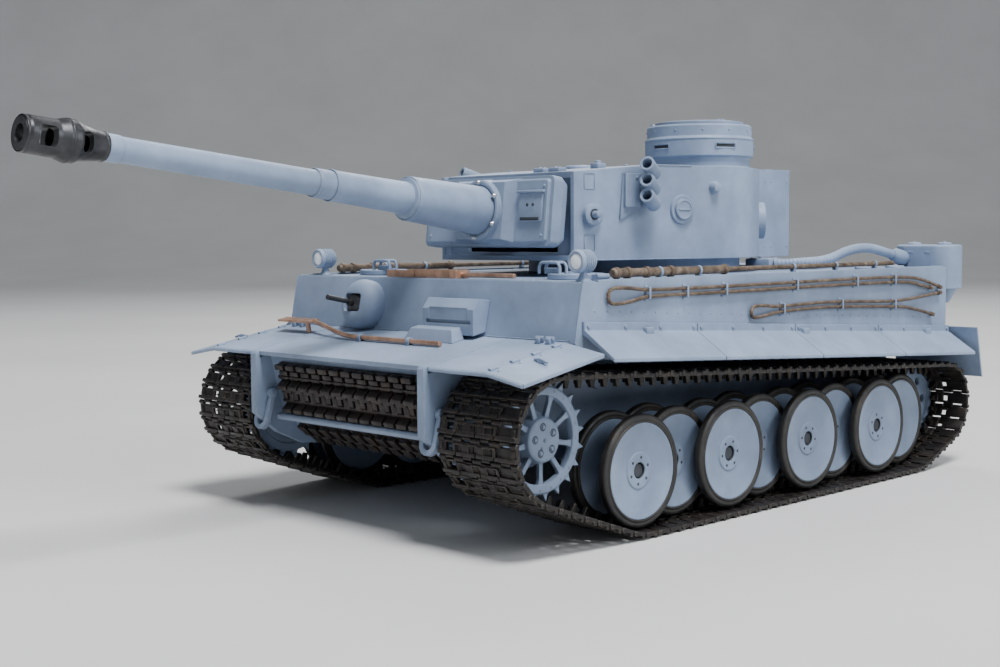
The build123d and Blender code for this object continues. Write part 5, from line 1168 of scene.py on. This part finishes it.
def build_mudguard_fittings():
    s = Shape()
    slope = Vector((0, 1, GLACIS_SLOPE)).normalized()
    normal = Vector((0, -GLACIS_SLOPE, 1)).normalized()
    for side in (-1, 1):
        for distance in (-78.0, -66.0, -54.0, -42.0):
            at = Vector((side * 95.05, back(distance), glacis_height(distance) + 0.2))
            s.lathe([(-2.2, 0), (-2.2, 0.8), (2.2, 0.8), (2.2, 0)], at, slope, 12)
            for dx in (-2.6, 2.6):
                drop = max(0.0, dx * side) * 0.165 if dx * side > 0 else 0.0
                s.bolt(at + Vector((dx, 0, -drop - 0.15)), normal, 0.5, 0.35)
        for x in (82.0, 88.0):
            at = Vector((side * x, back(-38.5), glacis_height(-38.5) + 0.1))
            s.box(sorted((at.x - 1.2, at.x + 1.2)), (at.y - 1.8, at.y + 1.8), (at.z - 0.4, at.z + 2.2), 0.3)
            s.lathe([(-2.0, 0), (-2.0, 0.9), (2.0, 0.9), (2.0, 0)], at + Vector((0, 0, 2.0)), (1, 0, 0), 12)
        lever = Vector((side * 104.0, back(-60.0), glacis_height(-60.0) - 1.3))
        s.tube([lever + Vector((-side * 4, 0, 1.0)), lever + Vector((0, -0.6, 1.4)), lever + Vector((side * 4, -1.2, 0.2))],
               0.6, 10)
        s.lathe([(0, 1.3), (1.2, 1.2), (1.5, 0.8), (1.5, 0)], lever, normal, 16)
        edge = [Vector((side * x, back(-82.0), z)) for x, z in ((62.0, 75.3), (95.0, 75.3), (115.0, 72.0))]
        s.tube(edge, 0.85, 10)
        seam = side * 61.05
        weld(s, [(seam, back(-80.0), glacis_height(-80.0) + 0.02), (seam, back(-36.0), glacis_height(-36.0) + 0.02)], 0.28)
    for x in (-16.0, 18.0):
        at = Vector((x, back(-54.8), glacis_height(-54.8)))
        s.lathe([(-1.0, 1.2), (-1.0, 1.75), (1.0, 1.75), (1.0, 1.2), (-1.0, 1.2)], at + Vector((0, 0, 1.55)), (1, 0, 0), 20)
        s.box((x - 1.0, x + 1.0), (at.y - 1.6, at.y + 1.6), (at.z - 0.4, at.z + 0.6), 0.15)
    s.piece("mudguard_fittings", PAINT, "hull", "blue_grey_paint")


def build_side_fittings():
    s = Shape()
    for side in (-1, 1):
        for number in range(38):
            distance = -22.0 + number * 7.9
            if distance > 268:
                break
            s.rivet((side * UPPER_HALF, back(distance), 97.4 - (distance + 22) * 0.0545), (side, 0, 0), 0.5)
        for start in (45.7, 123.4, 200.8):
            top = 93.4 + (start + 30.0) * -0.0545
            weld(s, [(side * 99.5, back(start - 0.25), top - 3.8), (side * 115.4, back(start - 0.25), top - 14.3)], 0.22)
        for distance in (10.0, 130.0, 250.0):
            top = 93.4 + (distance + 30.0) * -0.0545
            s.box(sorted((side * 99.3, side * 101.6)), (back(distance - 2.5), back(distance + 2.5)), (top - 5.6, top - 2.0), 0.3)
        for distance, z in ((20.0, 62.0), (90.0, 62.0), (160.0, 62.0), (230.0, 62.0)):
            s.lathe([(0, 3.4), (1.6, 3.2), (2.0, 2.4), (2.0, 0)], (side * 61.0, back(distance), z), (side, 0, 0), 24)
    s.piece("side_fittings", PAINT, "hull", "blue_grey_paint")


def build_rear_fittings():
    s, pipes, lamp = Shape(), Shape(), Shape()
    for side in (-1, 1):
        x = side * 27.0
        s.lathe([(0, 12.4), (3.0, 12.4), (3.0, 11.9), (0, 11.9), (0, 12.4)], (x, back(287.6), 68.0), (0, 0, 1), 40)
        s.lathe([(0, 12.4), (3.0, 12.4), (3.0, 11.9), (0, 11.9), (0, 12.4)], (x, back(287.6), 92.0), (0, 0, 1), 40)
        for z in (69.5, 93.5):
            s.bolt((x, back(299.9), z), (0, 1, 0), 0.8, 0.5)
        pipes.lathe([(0, 4.6), (0.3, 4.9), (1.6, 4.9), (1.9, 4.3)], (x, back(287.6), 104.0), (0, 0, 1), 28)
        low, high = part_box("air_cleaners")
        cx = side * 80.5
        for z in (102.0, 117.0):
            for dx in (-9.5, 9.5):
                s.lathe([(0, 12.3), (0.3, 12.7), (1.4, 12.7), (1.7, 12.3)], (cx + dx * 0.55, back(288.0), z), (0, 0, 1), 36)
        for dx in (-9.5, 9.5):
            s.lathe([(0, 4.2), (1.0, 4.0), (1.4, 3.0), (1.4, 0)], (cx + dx, back(288.0), 121.9), (0, 0, 1), 24)
            s.bolt((cx + dx, back(288.0), 123.2), (0, 0, 1), 1.1, 0.6)
        lamp.lathe([(0, 3.0), (2.6, 2.9), (3.2, 2.2), (3.3, 0)], (side * 52.0, back(275.1), 92.0), (0, 1, 0), 28)
        for z in (55.0, 70.0):
            for dx in (6.0, 30.0, 50.0):
                s.bolt((side * dx, back(275.0), z), (0, 1, 0), 0.9, 0.6)
        for number in range(9):
            s.rivet((side * (66.0 + number * 6.0), back(279.6), 73.0), (0, 1, 0.2), 0.6)
    s.box((-7.0, 7.0), (back(275.0), back(277.6)), (52.0, 62.0), 0.5)
    s.lathe([(0, 2.4), (6.0, 2.2), (7.0, 1.2), (7.0, 0)], (0, back(277.0), 57.0), (0, 1, 0), 24)
    s.piece("rear_fittings", PAINT, "hull", "blue_grey_paint")
    pipes.piece("exhaust_lips", SPARE, "hull", "track_metal")
    lamp.piece("rear_lamps", GUNMETAL, "hull", "gunmetal")


build_hatch_guards()
build_deck()
build_mudguard_fittings()
build_side_fittings()
build_rear_fittings()

# ---------------------------------------------------------------- camera, light and floor
CAMERA_AT = Vector((482.8, FRONT_AXLE.y - 453.9, 129.2)) * MM
CAMERA_AZIMUTH, CAMERA_ELEVATION, CAMERA_ROLL = 45.61, 4.04, -0.41
CAMERA_LENS = 50.1


def add_camera():
    azimuth, elevation = radians(CAMERA_AZIMUTH), radians(CAMERA_ELEVATION)
    away = Vector((sin(azimuth) * cos(elevation), -cos(azimuth) * cos(elevation), sin(elevation)))
    camera_data = bpy.data.cameras.new("camera")
    camera = bpy.data.objects.new("camera", camera_data)
    bpy.context.scene.collection.objects.link(camera)
    turn = away.to_track_quat("Z", "Y").to_matrix().to_4x4()
    camera.matrix_world = Matrix.Translation(CAMERA_AT) @ turn @ Matrix.Rotation(radians(CAMERA_ROLL), 4, "Z")
    camera_data.lens = CAMERA_LENS
    camera_data.sensor_width = 36.0
    camera_data.clip_start = 0.01
    bpy.context.scene.camera = camera


def add_light(name, at, aim, size, energy, colour=(1, 1, 1)):
    light = bpy.data.lights.new(name, "AREA")
    light.shape = "DISK"
    light.size = size
    light.energy = energy
    light.color = colour
    lamp = bpy.data.objects.new(name, light)
    bpy.context.scene.collection.objects.link(lamp)
    lamp.location = at
    lamp.rotation_euler = (Vector(at) - Vector(aim)).to_track_quat("Z", "Y").to_euler()


def add_floor():
    n = Nodes("pale_floor")
    colour = n.ramp(n.noise(3.0, 4.0), [(0.3, (0.60, 0.595, 0.58)), (0.7, (0.66, 0.655, 0.64))])
    n.bump(n.noise(220.0, 4.0), 0.05, 0.0004)
    material = n.finish(colour, 0.85)
    mesh = bpy.data.meshes.new("floor")
    reach, curve, rise = 6.0, 2.5, 5.0
    bm = bmesh.new()
    rows = [(-reach, 0.0), (reach * 0.5, 0.0)]
    rows += [(reach * 0.5 + curve * sin(t * pi / 16), curve * (1 - cos(t * pi / 16))) for t in range(1, 9)]
    rows.append((reach * 0.5 + curve, rise))
    turn = Matrix.Rotation(radians(CAMERA_AZIMUTH), 3, "Z")
    lines = []
    for distance, height in rows:
        pair = [turn @ Vector((x, distance, height)) for x in (-reach, reach)]
        lines.append([bm.verts.new(v) for v in pair])
    for near, far in zip(lines, lines[1:]):
        bm.faces.new([near[0], near[1], far[1], far[0]])
    bm.to_mesh(mesh)
    bm.free()
    mesh.shade_smooth()
    floor = bpy.data.objects.new("floor", mesh)
    mesh.materials.append(material)
    bpy.context.scene.collection.objects.link(floor)


add_camera()
add_floor()
add_light("key", (0.9, -0.3, 2.2), (0, 0, 0.1), 0.8, 78.0, (0.97, 0.98, 1.0))
add_light("fill", (2.2, 0.6, 1.2), (0, 0, 0.1), 1.2, 27.0, (0.90, 0.94, 1.0))
add_light("rim", (-1.1, 1.4, 1.5), (0, 0, 0.1), 0.9, 16.0)
world = bpy.data.worlds.new("studio")
world.use_nodes = True
world.node_tree.nodes["Background"].inputs["Color"].default_value = (0.86, 0.92, 1.0, 1)
world.node_tree.nodes["Background"].inputs["Strength"].default_value = 0.34
bpy.context.scene.world = world
